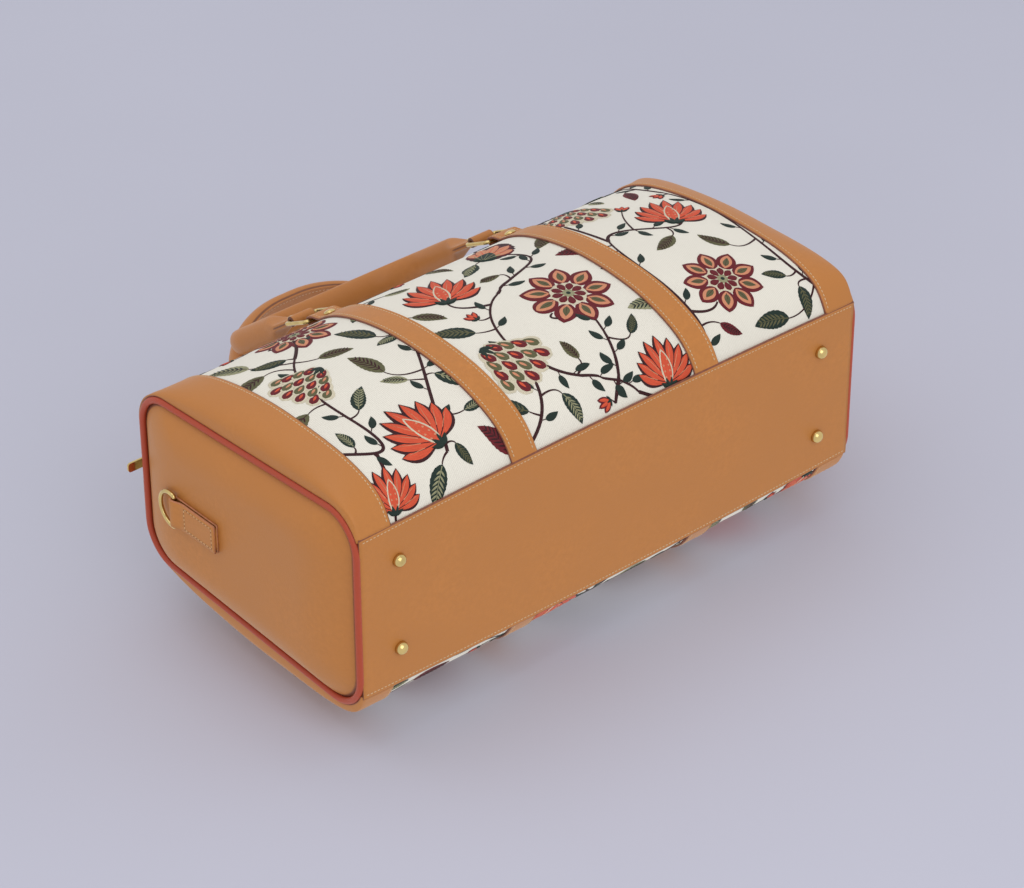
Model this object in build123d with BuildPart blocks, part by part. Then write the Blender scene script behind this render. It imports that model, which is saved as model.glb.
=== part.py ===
from build123d import *
from math import cos, pi, radians, sin
import os

os.makedirs("parts", exist_ok=True)

# A zipped weekend carpet bag standing on its four feet. X runs along the bag, the front faces
# -Y and the foot tips stand at Z = 0 under the middle of the bag. All lengths are millimetres.

# Filled canvas body: it rounds off towards the seam reach, and the end panels cut it at the span
seam_reach = 500.0
seam_span = 492.0
body_depth = 240.0
body_height = 262.5
end_depth = 178.0
crest_width = 24.0
belly_power = 3.0

# Up the cross-section: depth and height shares at the belly, then at the end seam
profile_shares = (
    (0.600, 0.000, 0.770, 0.000),
    (0.758, 0.050, 0.927, 0.021),
    (0.883, 0.145, 0.992, 0.088),
    (0.983, 0.328, 0.962, 0.335),
    (1.000, 0.488, 0.938, 0.495),
    (0.933, 0.697, 0.905, 0.705),
    (0.750, 0.865, 0.865, 0.897),
    (0.458, 0.968, 0.740, 0.980),
    (0.270, 0.993, 0.500, 1.000),
)
station_shares = (-1.0, -0.943, -0.833, -0.65, -0.366, 0.0, 0.366, 0.65, 0.833, 0.943, 1.0)

# Leather, board and feet under the body
leather = 2.0
panel_width = 150.0
panel_end_width = 143.0
board_length = 444.0
board_width = 132.0
board_thickness = 3.0
foot_height = 6.0
foot_radius = 5.5
foot_tip_radius = 2.0
foot_stem_radius = 1.5
foot_spacing_x = 428.0
foot_spacing_y = 79.0

# End panels and their piping
seam_bottom_width = 173.0
seam_top_width = 147.4
seam_corner = 20.0
piping_radius = 2.5
dome_depth = 18.0
dome_inset = 45.0
dome_inset_shares = (0.0, 0.09, 0.27, 0.56, 1.0)
dome_depth_shares = (0.0, 0.41, 0.68, 0.9, 1.0)

# End bands and straps
band_width = 27.0
strap_width = 25.0
strap_spacing = 184.0
strap_fold_share = 0.775
strap_rivet_gap = 12.0
rivet_radius = 5.0
rivet_height = 3.2
rivet_tip_radius = 0.6
rivet_stem_radius = 1.5

# Rings between straps and handles
ring_wire_radius = 1.6
ring_inner_width = 28.0
ring_reach = 29.0
ring_corner = 2.8
ring_lean = 28.0

# Padded handles
handle_length = 410.0
tab_width = 22.0
tab_leather = 2.5
tab_length = 26.0
neck_length = 20.0
grip_width = 24.0
grip_dome = 9.5
grip_lining = 2.5
tab_rivet_radius = 3.6
tab_rivet_height = 2.0
tab_rivet_place = 14.0
front_lean_angle = 37.0
front_corner_share = 0.471
back_lean_angle = 20.0
back_corner_share = 1.0
corner_ease_power = 4.0

# Zip along the crest
tape_width = 22.0
tape_thickness = 0.8
zip_end_margin = 3.0
teeth_width = 5.0
teeth_base_height = 0.8
teeth_height = 1.8
teeth_pitch = 4.0
teeth_fill_share = 0.55
stop_length = 4.0
stop_width = 6.0
slider_length = 14.0
slider_width = 10.0
slider_height = 5.0
slider_corner = 2.0
slider_park = 15.0
bridge_length = 9.0
bridge_width = 2.4
bridge_height = 4.2
pull_length = 30.0
pull_width = 8.0
pull_thickness = 1.6
pull_pin_radius = 0.9
pull_window_length = 6.0
pull_corner = 2.4

# Shoulder-strap rings on the ends
d_tab_width = 25.0
d_tab_length = 50.0
d_tab_share = 0.5714
d_wire_radius = 1.5
d_ring_reach = 19.0
d_ring_corner = 2.2
d_ring_lean = 3.0

# Running gap round pins, wires and the slider, and the overrun of every cut
gap = 0.3
overrun = 5.0

# Levels that the sizes above give
base_level = foot_height
body_floor = base_level + leather
crest_level = body_floor + body_height
seam_bottom = base_level + piping_radius
seam_top = crest_level - piping_radius
half_span = seam_span / 2
strap_x = strap_spacing / 2


def profile_points(x, grow):
    """Points up the back of the cross-section at x, each moved outwards by grow."""
    fullness = (1 - abs(2 * x / seam_reach) ** belly_power) ** (1 / belly_power)
    points = []
    for belly_y, belly_z, end_y, end_z in profile_shares:
        y = (fullness * belly_y * body_depth + (1 - fullness) * end_y * end_depth) / 2
        z = body_floor + body_height * (fullness * belly_z + (1 - fullness) * end_z)
        points.append(Vector(y, z))
    points.append(Vector(crest_width / 2, crest_level))
    moved = [points[0] + Vector(grow, 0)]
    for before, point, after in zip(points, points[1:], points[2:]):
        along = (after - before).normalized()
        moved.append(point + Vector(along.Y, -along.X) * grow)
    moved.append(points[-1] + Vector(0, grow))
    return moved


def cross_section(x, grow):
    """Closed outline of the filled bag at x, grown outwards and carried on below its base."""
    back = profile_points(x, grow)
    front = [Vector(-point.X, point.Y) for point in back]
    below = Vector(0, -overrun)
    with BuildSketch(Plane.YZ.offset(x)) as section:
        with BuildLine():
            Polyline(front[0], front[0] + below, back[0] + below, back[0])
            Spline(*back)
            Line(back[-1], front[-1])
            Spline(*reversed(front))
        make_face()
    return section.sketch


def filled_form(grow, half_length):
    """Solid of the filled bag out to half_length, lofted and grown outwards by grow."""
    sections = [cross_section(share * half_span, grow) for share in station_shares]
    with BuildPart() as form:
        loft(sections=sections)
        split(bisect_by=Plane.XY.offset(body_floor), keep=Keep.TOP)
        split(bisect_by=Plane.YZ.offset(half_length), keep=Keep.BOTTOM)
        split(bisect_by=Plane.YZ.offset(-half_length), keep=Keep.TOP)
    return form.part


def seam_outline(x, grow, corner):
    """Rounded trapezoid of an end seam in the plane at x, grown outwards by grow."""
    bottom = seam_bottom_width / 2 + grow
    top = seam_top_width / 2 + grow
    with BuildSketch(Plane.YZ.offset(x)) as outline:
        with BuildLine():
            Polyline(
                (-bottom, seam_bottom - grow),
                (bottom, seam_bottom - grow),
                (top, seam_top + grow),
                (-top, seam_top + grow),
                close=True,
            )
        make_face()
        fillet(outline.vertices(), corner)
    return outline.sketch


def stud(foot, out, head_radius, head_height, tip_radius, stem_radius, stem_length):
    """Domed stud whose head seats at foot and points along out, with its stem behind it."""
    radial = Vector(1, 0, 0)
    if abs(out.X) > abs(out.Z):
        radial = Vector(0, 1, 0)
    dome_share = sin(radians(45))
    middle = (tip_radius + (head_radius - tip_radius) * dome_share, head_height * dome_share)
    with BuildPart() as made:
        with BuildSketch(Plane(foot, x_dir=radial, z_dir=radial.cross(out))):
            with BuildLine():
                Polyline(
                    (0, head_height),
                    (0, -stem_length),
                    (stem_radius, -stem_length),
                    (stem_radius, 0),
                    (head_radius, 0),
                )
                ThreePointArc((head_radius, 0), middle, (tip_radius, head_height))
                Line((tip_radius, head_height), (0, head_height))
            make_face()
        revolve(axis=Axis(foot, out))
    return made.part


def wire_ring(plane, half_width, reach, radii, wire_radius):
    """Bent wire ring whose first bar lies on the plane's X axis and whose far side is at reach."""
    with BuildPart() as made:
        with BuildLine(plane) as path:
            FilletPolyline(
                (-half_width, 0),
                (half_width, 0),
                (half_width, reach),
                (-half_width, reach),
                radius=radii,
                close=True,
            )
        with BuildSketch(Plane(path.wire() @ 0, z_dir=path.wire() % 0)):
            Circle(wire_radius)
        sweep(path=path.wire())
    return made.part


def keep(part, name):
    """Label a finished piece and write it out."""
    part.label = name
    export_step(part, f"parts/{name}.step")


# Places on the back strap's line, which the front mirrors
with BuildLine() as strap_line:
    Spline(*[Vector(0, point.X, point.Y) for point in profile_points(strap_x, 0)])
strap_curve = strap_line.edge()
fold_foot = strap_curve @ strap_fold_share
fold_along = strap_curve % strap_fold_share
fold_out = Vector(0, fold_along.Z, -fold_along.Y)
fold_eye_radius = ring_wire_radius + gap
fold_loop_radius = fold_eye_radius + leather
fold_bar = fold_foot + fold_out * (fold_loop_radius + 2 * gap)
rivet_share = strap_fold_share - strap_rivet_gap / strap_curve.length
rivet_along = strap_curve % rivet_share
rivet_out = Vector(0, rivet_along.Z, -rivet_along.Y)
rivet_foot = strap_curve @ rivet_share + rivet_out * (leather + gap)
ring_up = Vector(0, -sin(radians(ring_lean)), cos(radians(ring_lean)))
handle_bar = fold_bar + ring_up * ring_reach


def to_side(vector, x, side):
    """A place or direction on the back strap's line, brought to x and to the given side."""
    return Vector(x, side * vector.Y, vector.Z)


# Canvas body with a raised field behind each end panel and a recess for the stiffening board
ends = (("left", -1), ("right", 1))
core = filled_form(0, half_span - leather)
with BuildPart() as canvas_body:
    add(core)
    for _, end in ends:
        field = seam_outline(end * half_span, -piping_radius, seam_corner - piping_radius)
        extrude(field.face(), amount=leather, dir=(-end, 0, 0))
    with Locations((0, 0, body_floor)):
        Box(
            board_length,
            board_width,
            board_thickness,
            align=(Align.CENTER, Align.CENTER, Align.MIN),
            mode=Mode.SUBTRACT,
        )
keep(canvas_body.part, "canvas_body")

foot_places = [
    (x * foot_spacing_x / 2, y * foot_spacing_y / 2) for x in (-1, 1) for y in (-1, 1)
]

# Stiffening board inside the base, bored for the feet
with BuildPart() as base_board:
    with BuildSketch(Plane.XY.offset(body_floor)):
        Rectangle(board_length, board_width)
        with Locations(*foot_places):
            Circle(foot_stem_radius + gap, mode=Mode.SUBTRACT)
    extrude(amount=board_thickness)
keep(base_board.part, "base_board")

# Bottom panel, a little wider at the middle than at its ends
with BuildPart() as bottom_panel:
    with BuildSketch(Plane.XY.offset(base_level)):
        with BuildLine():
            ThreePointArc(
                (-half_span, -panel_end_width / 2),
                (0, -panel_width / 2),
                (half_span, -panel_end_width / 2),
            )
            Line((half_span, -panel_end_width / 2), (half_span, panel_end_width / 2))
            ThreePointArc(
                (half_span, panel_end_width / 2),
                (0, panel_width / 2),
                (-half_span, panel_end_width / 2),
            )
            Line((-half_span, panel_end_width / 2), (-half_span, -panel_end_width / 2))
        make_face()
        with Locations(*foot_places):
            Circle(foot_stem_radius + gap, mode=Mode.SUBTRACT)
    extrude(amount=leather)
keep(bottom_panel.part, "bottom_panel")

# Four domed feet with their stems through the panel and the board
stem_length = leather + board_thickness
with BuildPart() as feet:
    for x, y in foot_places:
        foot = Vector(x, y, base_level)
        add(stud(foot, Vector(0, 0, -1), foot_radius, foot_height, foot_tip_radius,
                 foot_stem_radius, stem_length))
keep(feet.part, "feet")

# Domed end panels inside their ring of piping
for end_name, end in ends:
    layers = [
        seam_outline(end * (half_span + depth * dome_depth), -piping_radius - inset * dome_inset,
                     seam_corner - piping_radius)
        for inset, depth in zip(dome_inset_shares, dome_depth_shares)
    ]
    with BuildPart() as end_panel:
        loft(sections=layers)
    keep(end_panel.part, f"{end_name}_end_panel")

    seam = seam_outline(end * (half_span + piping_radius), 0, seam_corner).face().outer_wire()
    with BuildPart() as piping:
        with BuildSketch(Plane(seam @ 0, z_dir=seam % 0)):
            Circle(piping_radius)
        sweep(path=seam)
    keep(piping.part, f"{end_name}_piping")

# Leather skin that the bands and straps are cut from, closed over the body's two ends
with BuildPart() as skin:
    add(filled_form(leather, half_span))
    add(core, mode=Mode.SUBTRACT)
skin_height = body_height + leather + overrun
sides = (("front", -1), ("back", 1))

# End bands from the bottom panel up to the zip, turned in over the shoulder to the piping
band_depth = body_depth / 2 + leather + overrun - crest_width / 2
for side_name, side in sides:
    for end_name, end in ends:
        with BuildPart() as band:
            add(skin.part)
            with Locations((end * half_span, side * crest_width / 2, body_floor)):
                Box(
                    band_width,
                    band_depth,
                    skin_height,
                    align=(
                        Align.MIN if end < 0 else Align.MAX,
                        Align.MIN if side > 0 else Align.MAX,
                        Align.MIN,
                    ),
                    mode=Mode.INTERSECT,
                )
            field = seam_outline(end * half_span, -piping_radius, seam_corner - piping_radius)
            extrude(field.face(), amount=leather + overrun, both=True, mode=Mode.SUBTRACT)
        keep(band.part, f"{side_name}_{end_name}_band")

# Straps from the bottom panel up to a fold round the ring, each bored for its rivet
strap_rise = fold_foot.Z - body_floor
for side_name, side in sides:
    for end_name, end in ends:
        eye = to_side(fold_bar, end * strap_x, side)
        rivet_seat = to_side(rivet_foot, end * strap_x, side)
        with BuildPart() as strap:
            add(skin.part)
            with Locations((end * strap_x, side * crest_width / 2, body_floor)):
                Box(
                    strap_width,
                    band_depth,
                    strap_rise,
                    align=(
                        Align.CENTER,
                        Align.MIN if side > 0 else Align.MAX,
                        Align.MIN,
                    ),
                    mode=Mode.INTERSECT,
                )
            with BuildSketch(Plane(eye, x_dir=(0, 1, 0), z_dir=(1, 0, 0))):
                Circle(fold_loop_radius)
            extrude(amount=strap_width / 2, both=True)
            with BuildSketch(Plane(eye, x_dir=(0, 1, 0), z_dir=(1, 0, 0))):
                Circle(fold_eye_radius)
            extrude(amount=strap_width / 2 + overrun, both=True, mode=Mode.SUBTRACT)
            with BuildSketch(Plane(rivet_seat, z_dir=to_side(rivet_out, 0, side))):
                Circle(rivet_stem_radius + gap)
            extrude(amount=leather + gap, both=True, mode=Mode.SUBTRACT)
        keep(strap.part, f"{side_name}_{end_name}_strap")

# One domed rivet through each strap
with BuildPart() as strap_rivets:
    for _, side in sides:
        for _, end in ends:
            seat = to_side(rivet_foot, end * strap_x, side)
            out = to_side(rivet_out, 0, side)
            add(stud(seat, out, rivet_radius, rivet_height, rivet_tip_radius,
                     rivet_stem_radius, leather))
keep(strap_rivets.part, "strap_rivets")

# Rectangular rings that join straps and handles
ring_half_width = ring_inner_width / 2 + ring_wire_radius
for side_name, side in sides:
    for end_name, end in ends:
        up = to_side(ring_up, 0, side)
        ring_plane = Plane(
            to_side(fold_bar, end * strap_x, side), x_dir=(1, 0, 0), z_dir=Vector(1, 0, 0).cross(up)
        )
        corners = [ring_corner] * 4
        ring = wire_ring(ring_plane, ring_half_width, ring_reach, corners, ring_wire_radius)
        keep(ring, f"{side_name}_{end_name}_ring")


def grip_outline(plane, outward):
    """Section of the padded grip: flat lining inside, dome on the side that outward points to."""
    inner = -outward * grip_lining
    half = grip_width / 2
    with BuildSketch(plane) as outline:
        with BuildLine():
            Polyline((0, -half), (inner, -half), (inner, half), (0, half))
            ThreePointArc((0, half), (outward * grip_dome, 0), (0, -half))
        make_face()
    return outline.sketch


def tab_outline(plane):
    """Section of the flat doubled tab at a handle's end."""
    with BuildSketch(plane) as outline:
        Rectangle(tab_width, 2 * tab_leather)
    return outline.sketch


tab_eye_radius = ring_wire_radius + gap
tab_loop_radius = tab_eye_radius + tab_leather
neck_top = tab_length + neck_length
leg_room = (handle_length / 2 - strap_x - neck_top) / (pi / 2 - 1)
arch_room = (strap_x**-corner_ease_power + leg_room**-corner_ease_power) ** (-1 / corner_ease_power)
handles = (
    ("front", -1, front_lean_angle, front_corner_share * arch_room),
    ("back", 1, back_lean_angle, back_corner_share * arch_room),
)
for side_name, side, lean, corner in handles:
    up = Vector(0, -side * sin(radians(lean)), cos(radians(lean)))
    across = Vector(0, up.Z, -up.Y)
    bar = to_side(handle_bar, 0, side)
    straight = handle_length - pi * corner - 2 * (strap_x - corner)
    handle_height = straight / 2 + corner
    grip_plane = Plane(bar, x_dir=(1, 0, 0), z_dir=-across)
    with BuildLine(grip_plane) as grip_path:
        FilletPolyline(
            (-strap_x, neck_top),
            (-strap_x, handle_height),
            (strap_x, handle_height),
            (strap_x, neck_top),
            radius=corner,
        )
    legs = []
    for _, end in ends:
        foot = bar + Vector(end * strap_x, 0, 0)
        tab_plane = Plane(foot + up * tab_length, x_dir=(1, 0, 0), z_dir=up)
        neck_plane = Plane(foot + up * neck_top, x_dir=(1, 0, 0), z_dir=up)
        legs.append((foot, tab_outline(tab_plane), grip_outline(neck_plane, end)))

    # Handle: looped tabs, necks that turn the flat tab into the padded grip, and the grip
    with BuildPart() as handle:
        sweep(sections=legs[0][2], path=grip_path.wire())
        for foot, tab_end, neck_end in legs:
            loft(sections=[tab_end, neck_end])
            leg_plane = Plane(foot, x_dir=across, z_dir=(1, 0, 0))
            with BuildSketch(leg_plane):
                Circle(tab_loop_radius)
                Rectangle(2 * tab_leather, tab_length, align=(Align.CENTER, Align.MIN))
                Circle(tab_eye_radius, mode=Mode.SUBTRACT)
            extrude(amount=tab_width / 2, both=True)
            with BuildSketch(Plane(foot + up * tab_rivet_place, z_dir=across)):
                Circle(rivet_stem_radius + gap)
            extrude(amount=tab_leather + overrun, both=True, mode=Mode.SUBTRACT)
    keep(handle.part, f"{side_name}_handle")

    # Small rivets that close the loops of the two tabs
    with BuildPart() as handle_rivets:
        for foot, _, _ in legs:
            seat = foot + up * tab_rivet_place
            for face in (-1, 1):
                add(stud(seat + across * face * tab_leather, across * face, tab_rivet_radius,
                         tab_rivet_height, rivet_tip_radius, rivet_stem_radius, tab_leather))
    keep(handle_rivets.part, f"{side_name}_handle_rivets")

# Zip tape along the crest
with BuildPart() as zip_tape:
    with BuildSketch(Plane.XY.offset(crest_level)):
        Rectangle(seam_span, tape_width)
    extrude(amount=tape_thickness)
keep(zip_tape.part, "zip_tape")

# Row of teeth: a low rib with a ridge for each pair
teeth_level = crest_level + tape_thickness
teeth_half = half_span - zip_end_margin - stop_length
teeth_count = int(2 * teeth_half / teeth_pitch)
tooth_length = teeth_pitch * teeth_fill_share
comb = [(-teeth_half, 0)]
for index in range(teeth_count):
    start = -teeth_half + (index + (1 - teeth_fill_share) / 2) * teeth_pitch
    comb += [
        (start, teeth_base_height),
        (start, teeth_height),
        (start + tooth_length, teeth_height),
        (start + tooth_length, teeth_base_height),
    ]
comb.insert(1, (-teeth_half, teeth_base_height))
comb += [(teeth_half, teeth_base_height), (teeth_half, 0)]
with BuildPart() as zip_teeth:
    with BuildSketch(Plane.XZ):
        with BuildLine():
            Polyline(*[(x, teeth_level + z) for x, z in comb], close=True)
        make_face()
    extrude(amount=teeth_width / 2, both=True)
keep(zip_teeth.part, "zip_teeth")

# Metal stops at both ends of the teeth
with BuildPart() as zip_stops:
    for _, end in ends:
        with BuildSketch(Plane.XY.offset(teeth_level)):
            with Locations((end * (teeth_half + stop_length / 2), 0)):
                Rectangle(stop_length, stop_width)
        extrude(amount=teeth_height)
keep(zip_stops.part, "zip_stops")

# Slider that straddles the teeth, with a bridge for the pull
slider_x = -half_span + slider_park
slider_level = teeth_level + gap
slider_top = slider_level + slider_height
pin_level = slider_top + bridge_height / 2
with BuildPart() as zip_slider:
    with BuildSketch(Plane.XY.offset(slider_level)):
        with Locations((slider_x, 0)):
            RectangleRounded(slider_length, slider_width, slider_corner)
    extrude(amount=slider_height)
    with BuildSketch(Plane.YZ.offset(slider_x)):
        with Locations((0, slider_level)):
            Rectangle(
                teeth_width + 2 * gap,
                teeth_height,
                align=(Align.CENTER, Align.MIN),
            )
    extrude(amount=slider_length / 2 + overrun, both=True, mode=Mode.SUBTRACT)
    with BuildSketch(Plane.XZ):
        with Locations((slider_x, slider_top)):
            Rectangle(bridge_length, bridge_height, align=(Align.CENTER, Align.MIN))
        with Locations((slider_x, pin_level)):
            Circle(pull_pin_radius + gap, mode=Mode.SUBTRACT)
    extrude(amount=bridge_width / 2, both=True)
keep(zip_slider.part, "zip_slider")

# Pull plate with a window round the bridge and a pin through it
window_width = bridge_width + 4 * gap
with BuildPart() as zip_pull:
    with BuildSketch(Plane.XY.offset(pin_level - pull_thickness / 2)):
        with Locations((slider_x + pull_pin_radius, 0)):
            RectangleRounded(
                pull_length, pull_width, pull_corner, align=(Align.MAX, Align.CENTER)
            )
        with Locations((slider_x + pull_corner, 0)):
            Rectangle(
                pull_window_length + pull_corner,
                window_width,
                align=(Align.MAX, Align.CENTER),
                mode=Mode.SUBTRACT,
            )
    extrude(amount=pull_thickness)
    with BuildSketch(Plane.XZ):
        with Locations((slider_x, pin_level)):
            Circle(pull_pin_radius)
    extrude(amount=pull_width / 2 - pull_corner / 2, both=True)
keep(zip_pull.part, "zip_pull")

# Folded leather tabs and D-rings for a shoulder strap, one on each end
d_eye_radius = d_wire_radius + gap
d_loop_radius = d_eye_radius + leather
d_bar_level = body_floor + d_tab_share * body_height + d_tab_length
d_half_width = d_tab_width / 2 + 2 * gap + d_wire_radius
d_face = half_span + dome_depth
for end_name, end in ends:
    d_bar = Vector(end * (d_face + d_loop_radius), 0, d_bar_level)
    with BuildPart() as d_tab:
        with BuildSketch(Plane.XZ):
            with Locations((d_bar.X, d_bar.Z)):
                Circle(d_loop_radius)
            with Locations((end * d_face, d_bar.Z)):
                Rectangle(
                    2 * leather,
                    d_tab_length,
                    align=(Align.MIN if end > 0 else Align.MAX, Align.MAX),
                )
            with Locations((d_bar.X, d_bar.Z)):
                Circle(d_eye_radius, mode=Mode.SUBTRACT)
        extrude(amount=d_tab_width / 2, both=True)
    keep(d_tab.part, f"{end_name}_d_ring_tab")

    lean = radians(d_ring_lean)
    d_up = Vector(-end * sin(lean), 0, cos(lean))
    d_plane = Plane(d_bar, x_dir=(0, 1, 0), z_dir=Vector(0, 1, 0).cross(d_up))
    bow = d_half_width - gap
    corners = [d_ring_corner, d_ring_corner, bow, bow]
    d_ring = wire_ring(d_plane, d_half_width, d_ring_reach, corners, d_wire_radius)
    keep(d_ring, f"{end_name}_d_ring")
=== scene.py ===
"""Carpet bag of cream canvas with embroidered flowers, tan leather trim and brass fittings."""

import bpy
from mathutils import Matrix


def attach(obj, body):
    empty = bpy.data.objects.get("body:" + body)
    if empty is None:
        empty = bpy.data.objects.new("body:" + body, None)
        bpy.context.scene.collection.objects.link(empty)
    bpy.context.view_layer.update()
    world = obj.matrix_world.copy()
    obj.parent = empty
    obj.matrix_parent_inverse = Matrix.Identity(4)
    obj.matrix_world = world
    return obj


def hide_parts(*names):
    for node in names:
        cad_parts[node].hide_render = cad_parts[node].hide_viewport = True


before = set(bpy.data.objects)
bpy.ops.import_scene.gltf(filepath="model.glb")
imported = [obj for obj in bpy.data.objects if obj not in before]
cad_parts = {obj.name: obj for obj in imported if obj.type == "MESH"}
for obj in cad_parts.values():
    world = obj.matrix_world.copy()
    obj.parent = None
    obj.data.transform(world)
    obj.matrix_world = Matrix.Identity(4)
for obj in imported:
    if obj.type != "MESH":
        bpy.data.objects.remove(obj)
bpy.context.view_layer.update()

import logging
import math
from dataclasses import dataclass, field
from enum import Enum
from typing import Optional, Protocol, Sequence, Union

import bmesh
import bpy
import numpy as np
from mathutils import Matrix

Array = np.ndarray
Colour = tuple[float, float, float]
Pair = tuple[float, float]
Places = Union[float, Sequence[float], Array]
Socket = bpy.types.NodeSocket
MM = 0.001
MERGE = 1e-7
X_AXIS, Y_AXIS, Z_AXIS = np.eye(3)
LOG = logging.getLogger("carpet_bag")


class Sign(Enum):
    """One of two opposite places, with the sign of its coordinate."""

    @property
    def word(self) -> str:
        """The place's name as the nodes spell it."""
        return self.name.lower()


class Side(Sign):
    """The bag's two long sides, with the sign of their Y."""

    FRONT = -1
    BACK = 1


class End(Sign):
    """The bag's two short ends, with the sign of their X."""

    LEFT = -1
    RIGHT = 1


class Slot(Enum):
    """Material slots of the record."""

    CANVAS = "canvas"
    TAN = "tan_leather"
    PIPING = "piping_leather"
    BRASS = "brass"
    TAPE = "zip_tape"


# Finishes


def shade(colour: Colour, share: float) -> Colour:
    """The colour made darker, or lighter where share is over 1."""
    return tuple(min(1.0, channel * share) for channel in colour)


class Graph:
    """A node material that is put together one node at a time."""

    def __init__(self, name: str) -> None:
        """Start a material with its shader and output.

        Args:
            name: The material's name.
        """
        self.material = bpy.data.materials.new(name)
        self.material.use_nodes = True
        self.nodes = self.material.node_tree.nodes
        self.links = self.material.node_tree.links
        self.nodes.clear()
        self.output = self.nodes.new("ShaderNodeOutputMaterial")
        self.shader = self.nodes.new("ShaderNodeBsdfPrincipled")
        self.links.new(self.shader.outputs["BSDF"], self.output.inputs["Surface"])

    def add(self, kind: str, sockets: Optional[dict] = None, **settings: object) -> bpy.types.Node:
        """Add a node.

        Args:
            kind: Type name after ShaderNode.
            sockets: Values of its inputs, or output sockets to link to them.
            settings: Properties of the node.

        Returns:
            The node.
        """
        node = self.nodes.new("ShaderNode" + kind)
        for key, value in settings.items():
            setattr(node, key, value)
        for key, value in (sockets or {}).items():
            self.put(node.inputs[key], value)
        return node

    def put(self, socket: Socket, value: Union[Socket, float, Sequence[float]]) -> None:
        """Set a socket to a value, or link it to an output.

        Args:
            socket: Input of a node.
            value: The value, or the output.
        """
        if isinstance(value, bpy.types.NodeSocket):
            self.links.new(value, socket)
        else:
            socket.default_value = value

    def place(self, uv: bool, scale: Colour = (1.0, 1.0, 1.0)) -> Socket:
        """Coordinates to lay a pattern on."""
        source = self.add("TexCoord").outputs["UV" if uv else "Object"]
        return self.add("Mapping", {"Vector": source, "Scale": scale}).outputs["Vector"]

    def noise(self, where: Socket, scale: float, detail: float) -> Socket:
        """Soft random field of the given scale and detail, from 0 to 1."""
        node = self.add("TexNoise", {"Vector": where, "Scale": scale, "Detail": detail})
        return node.outputs["Fac"]

    def wave(self, where: Socket, scale: float, axis: str, distortion: float, detail: float = 2.0,
             detail_scale: float = 1.0) -> Socket:
        """Straight waves from 0 to 1, each WAVE / scale long.

        Args:
            where: Coordinates to lay them on.
            scale: Scale of the waves.
            axis: Axis that they follow each other along.
            distortion: How far they wander.
            detail: Octaves of the wandering.
            detail_scale: Scale of the wandering.

        Returns:
            The field.
        """
        sockets = {"Vector": where, "Scale": scale, "Distortion": distortion, "Detail": detail,
                   "Detail Scale": detail_scale}
        return self.add("TexWave", sockets, bands_direction=axis).outputs["Fac"]

    def ramp(self, fac: Socket, low: float, high: float) -> Socket:
        """Stretch fac so that low becomes 0 and high becomes 1, held between them."""
        node = self.add("MapRange", {"Value": fac, "From Min": low, "From Max": high}, clamp=True)
        return node.outputs["Result"]

    def span(self, fac: Socket, start: float, end: float) -> Socket:
        """Carry fac from 0..1 to start..end."""
        node = self.add("MapRange", {"Value": fac, "To Min": start, "To Max": end}, clamp=True)
        return node.outputs["Result"]

    def mix(self, fac: Socket, first: Union[Socket, Colour], second: Union[Socket, Colour]) -> Socket:
        """Mix two colours.

        Args:
            fac: Share of the second.
            first: A colour or a socket.
            second: A colour or a socket.

        Returns:
            The mixed colour.
        """
        node = self.add("Mix", data_type="RGBA")
        for index, value in ((0, fac), (6, first), (7, second)):
            self.put(node.inputs[index], (*value, 1.0) if isinstance(value, tuple) else value)
        return node.outputs[2]

    def mottle(self, fac: Socket, limits: Pair, colour: Colour, shares: Pair) -> Socket:
        """Mix two shades of a colour where fac runs from one limit to the other."""
        dark, light = (shade(colour, share) for share in shares)
        return self.mix(self.ramp(fac, *limits), dark, light)

    def maths(self, operation: str, first: Socket, second: Union[Socket, float]) -> Socket:
        """One step of arithmetic on two numbers or sockets."""
        return self.add("Math", {0: first, 1: second}, operation=operation).outputs[0]

    def bump(self, height: Socket, distance: float, strength: float,
             under: Optional[Socket] = None) -> Socket:
        """Bump of the given height in metres, laid over another one.

        Args:
            height: Field to raise the surface by.
            distance: Height in metres.
            strength: Share of the height that counts.
            under: Normal of the bump below, if any.

        Returns:
            The bumped normal.
        """
        sockets = {"Height": height, "Distance": distance, "Strength": strength}
        if under is not None:
            sockets["Normal"] = under
        return self.add("Bump", sockets).outputs["Normal"]

    def finish(self, **sockets: Union[Socket, float]) -> bpy.types.Material:
        """Set the shader's inputs.

        Args:
            sockets: Their values, with _ for the spaces in their names.

        Returns:
            The material.
        """
        for key, value in sockets.items():
            self.put(self.shader.inputs[key.replace("_", " ")], value)
        return self.material


class Finish(Protocol):
    """A named finish that builds its own node material."""

    name: str

    def make(self) -> bpy.types.Material:
        """Build the node material."""


WAVE = 2 * math.pi / 20


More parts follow.
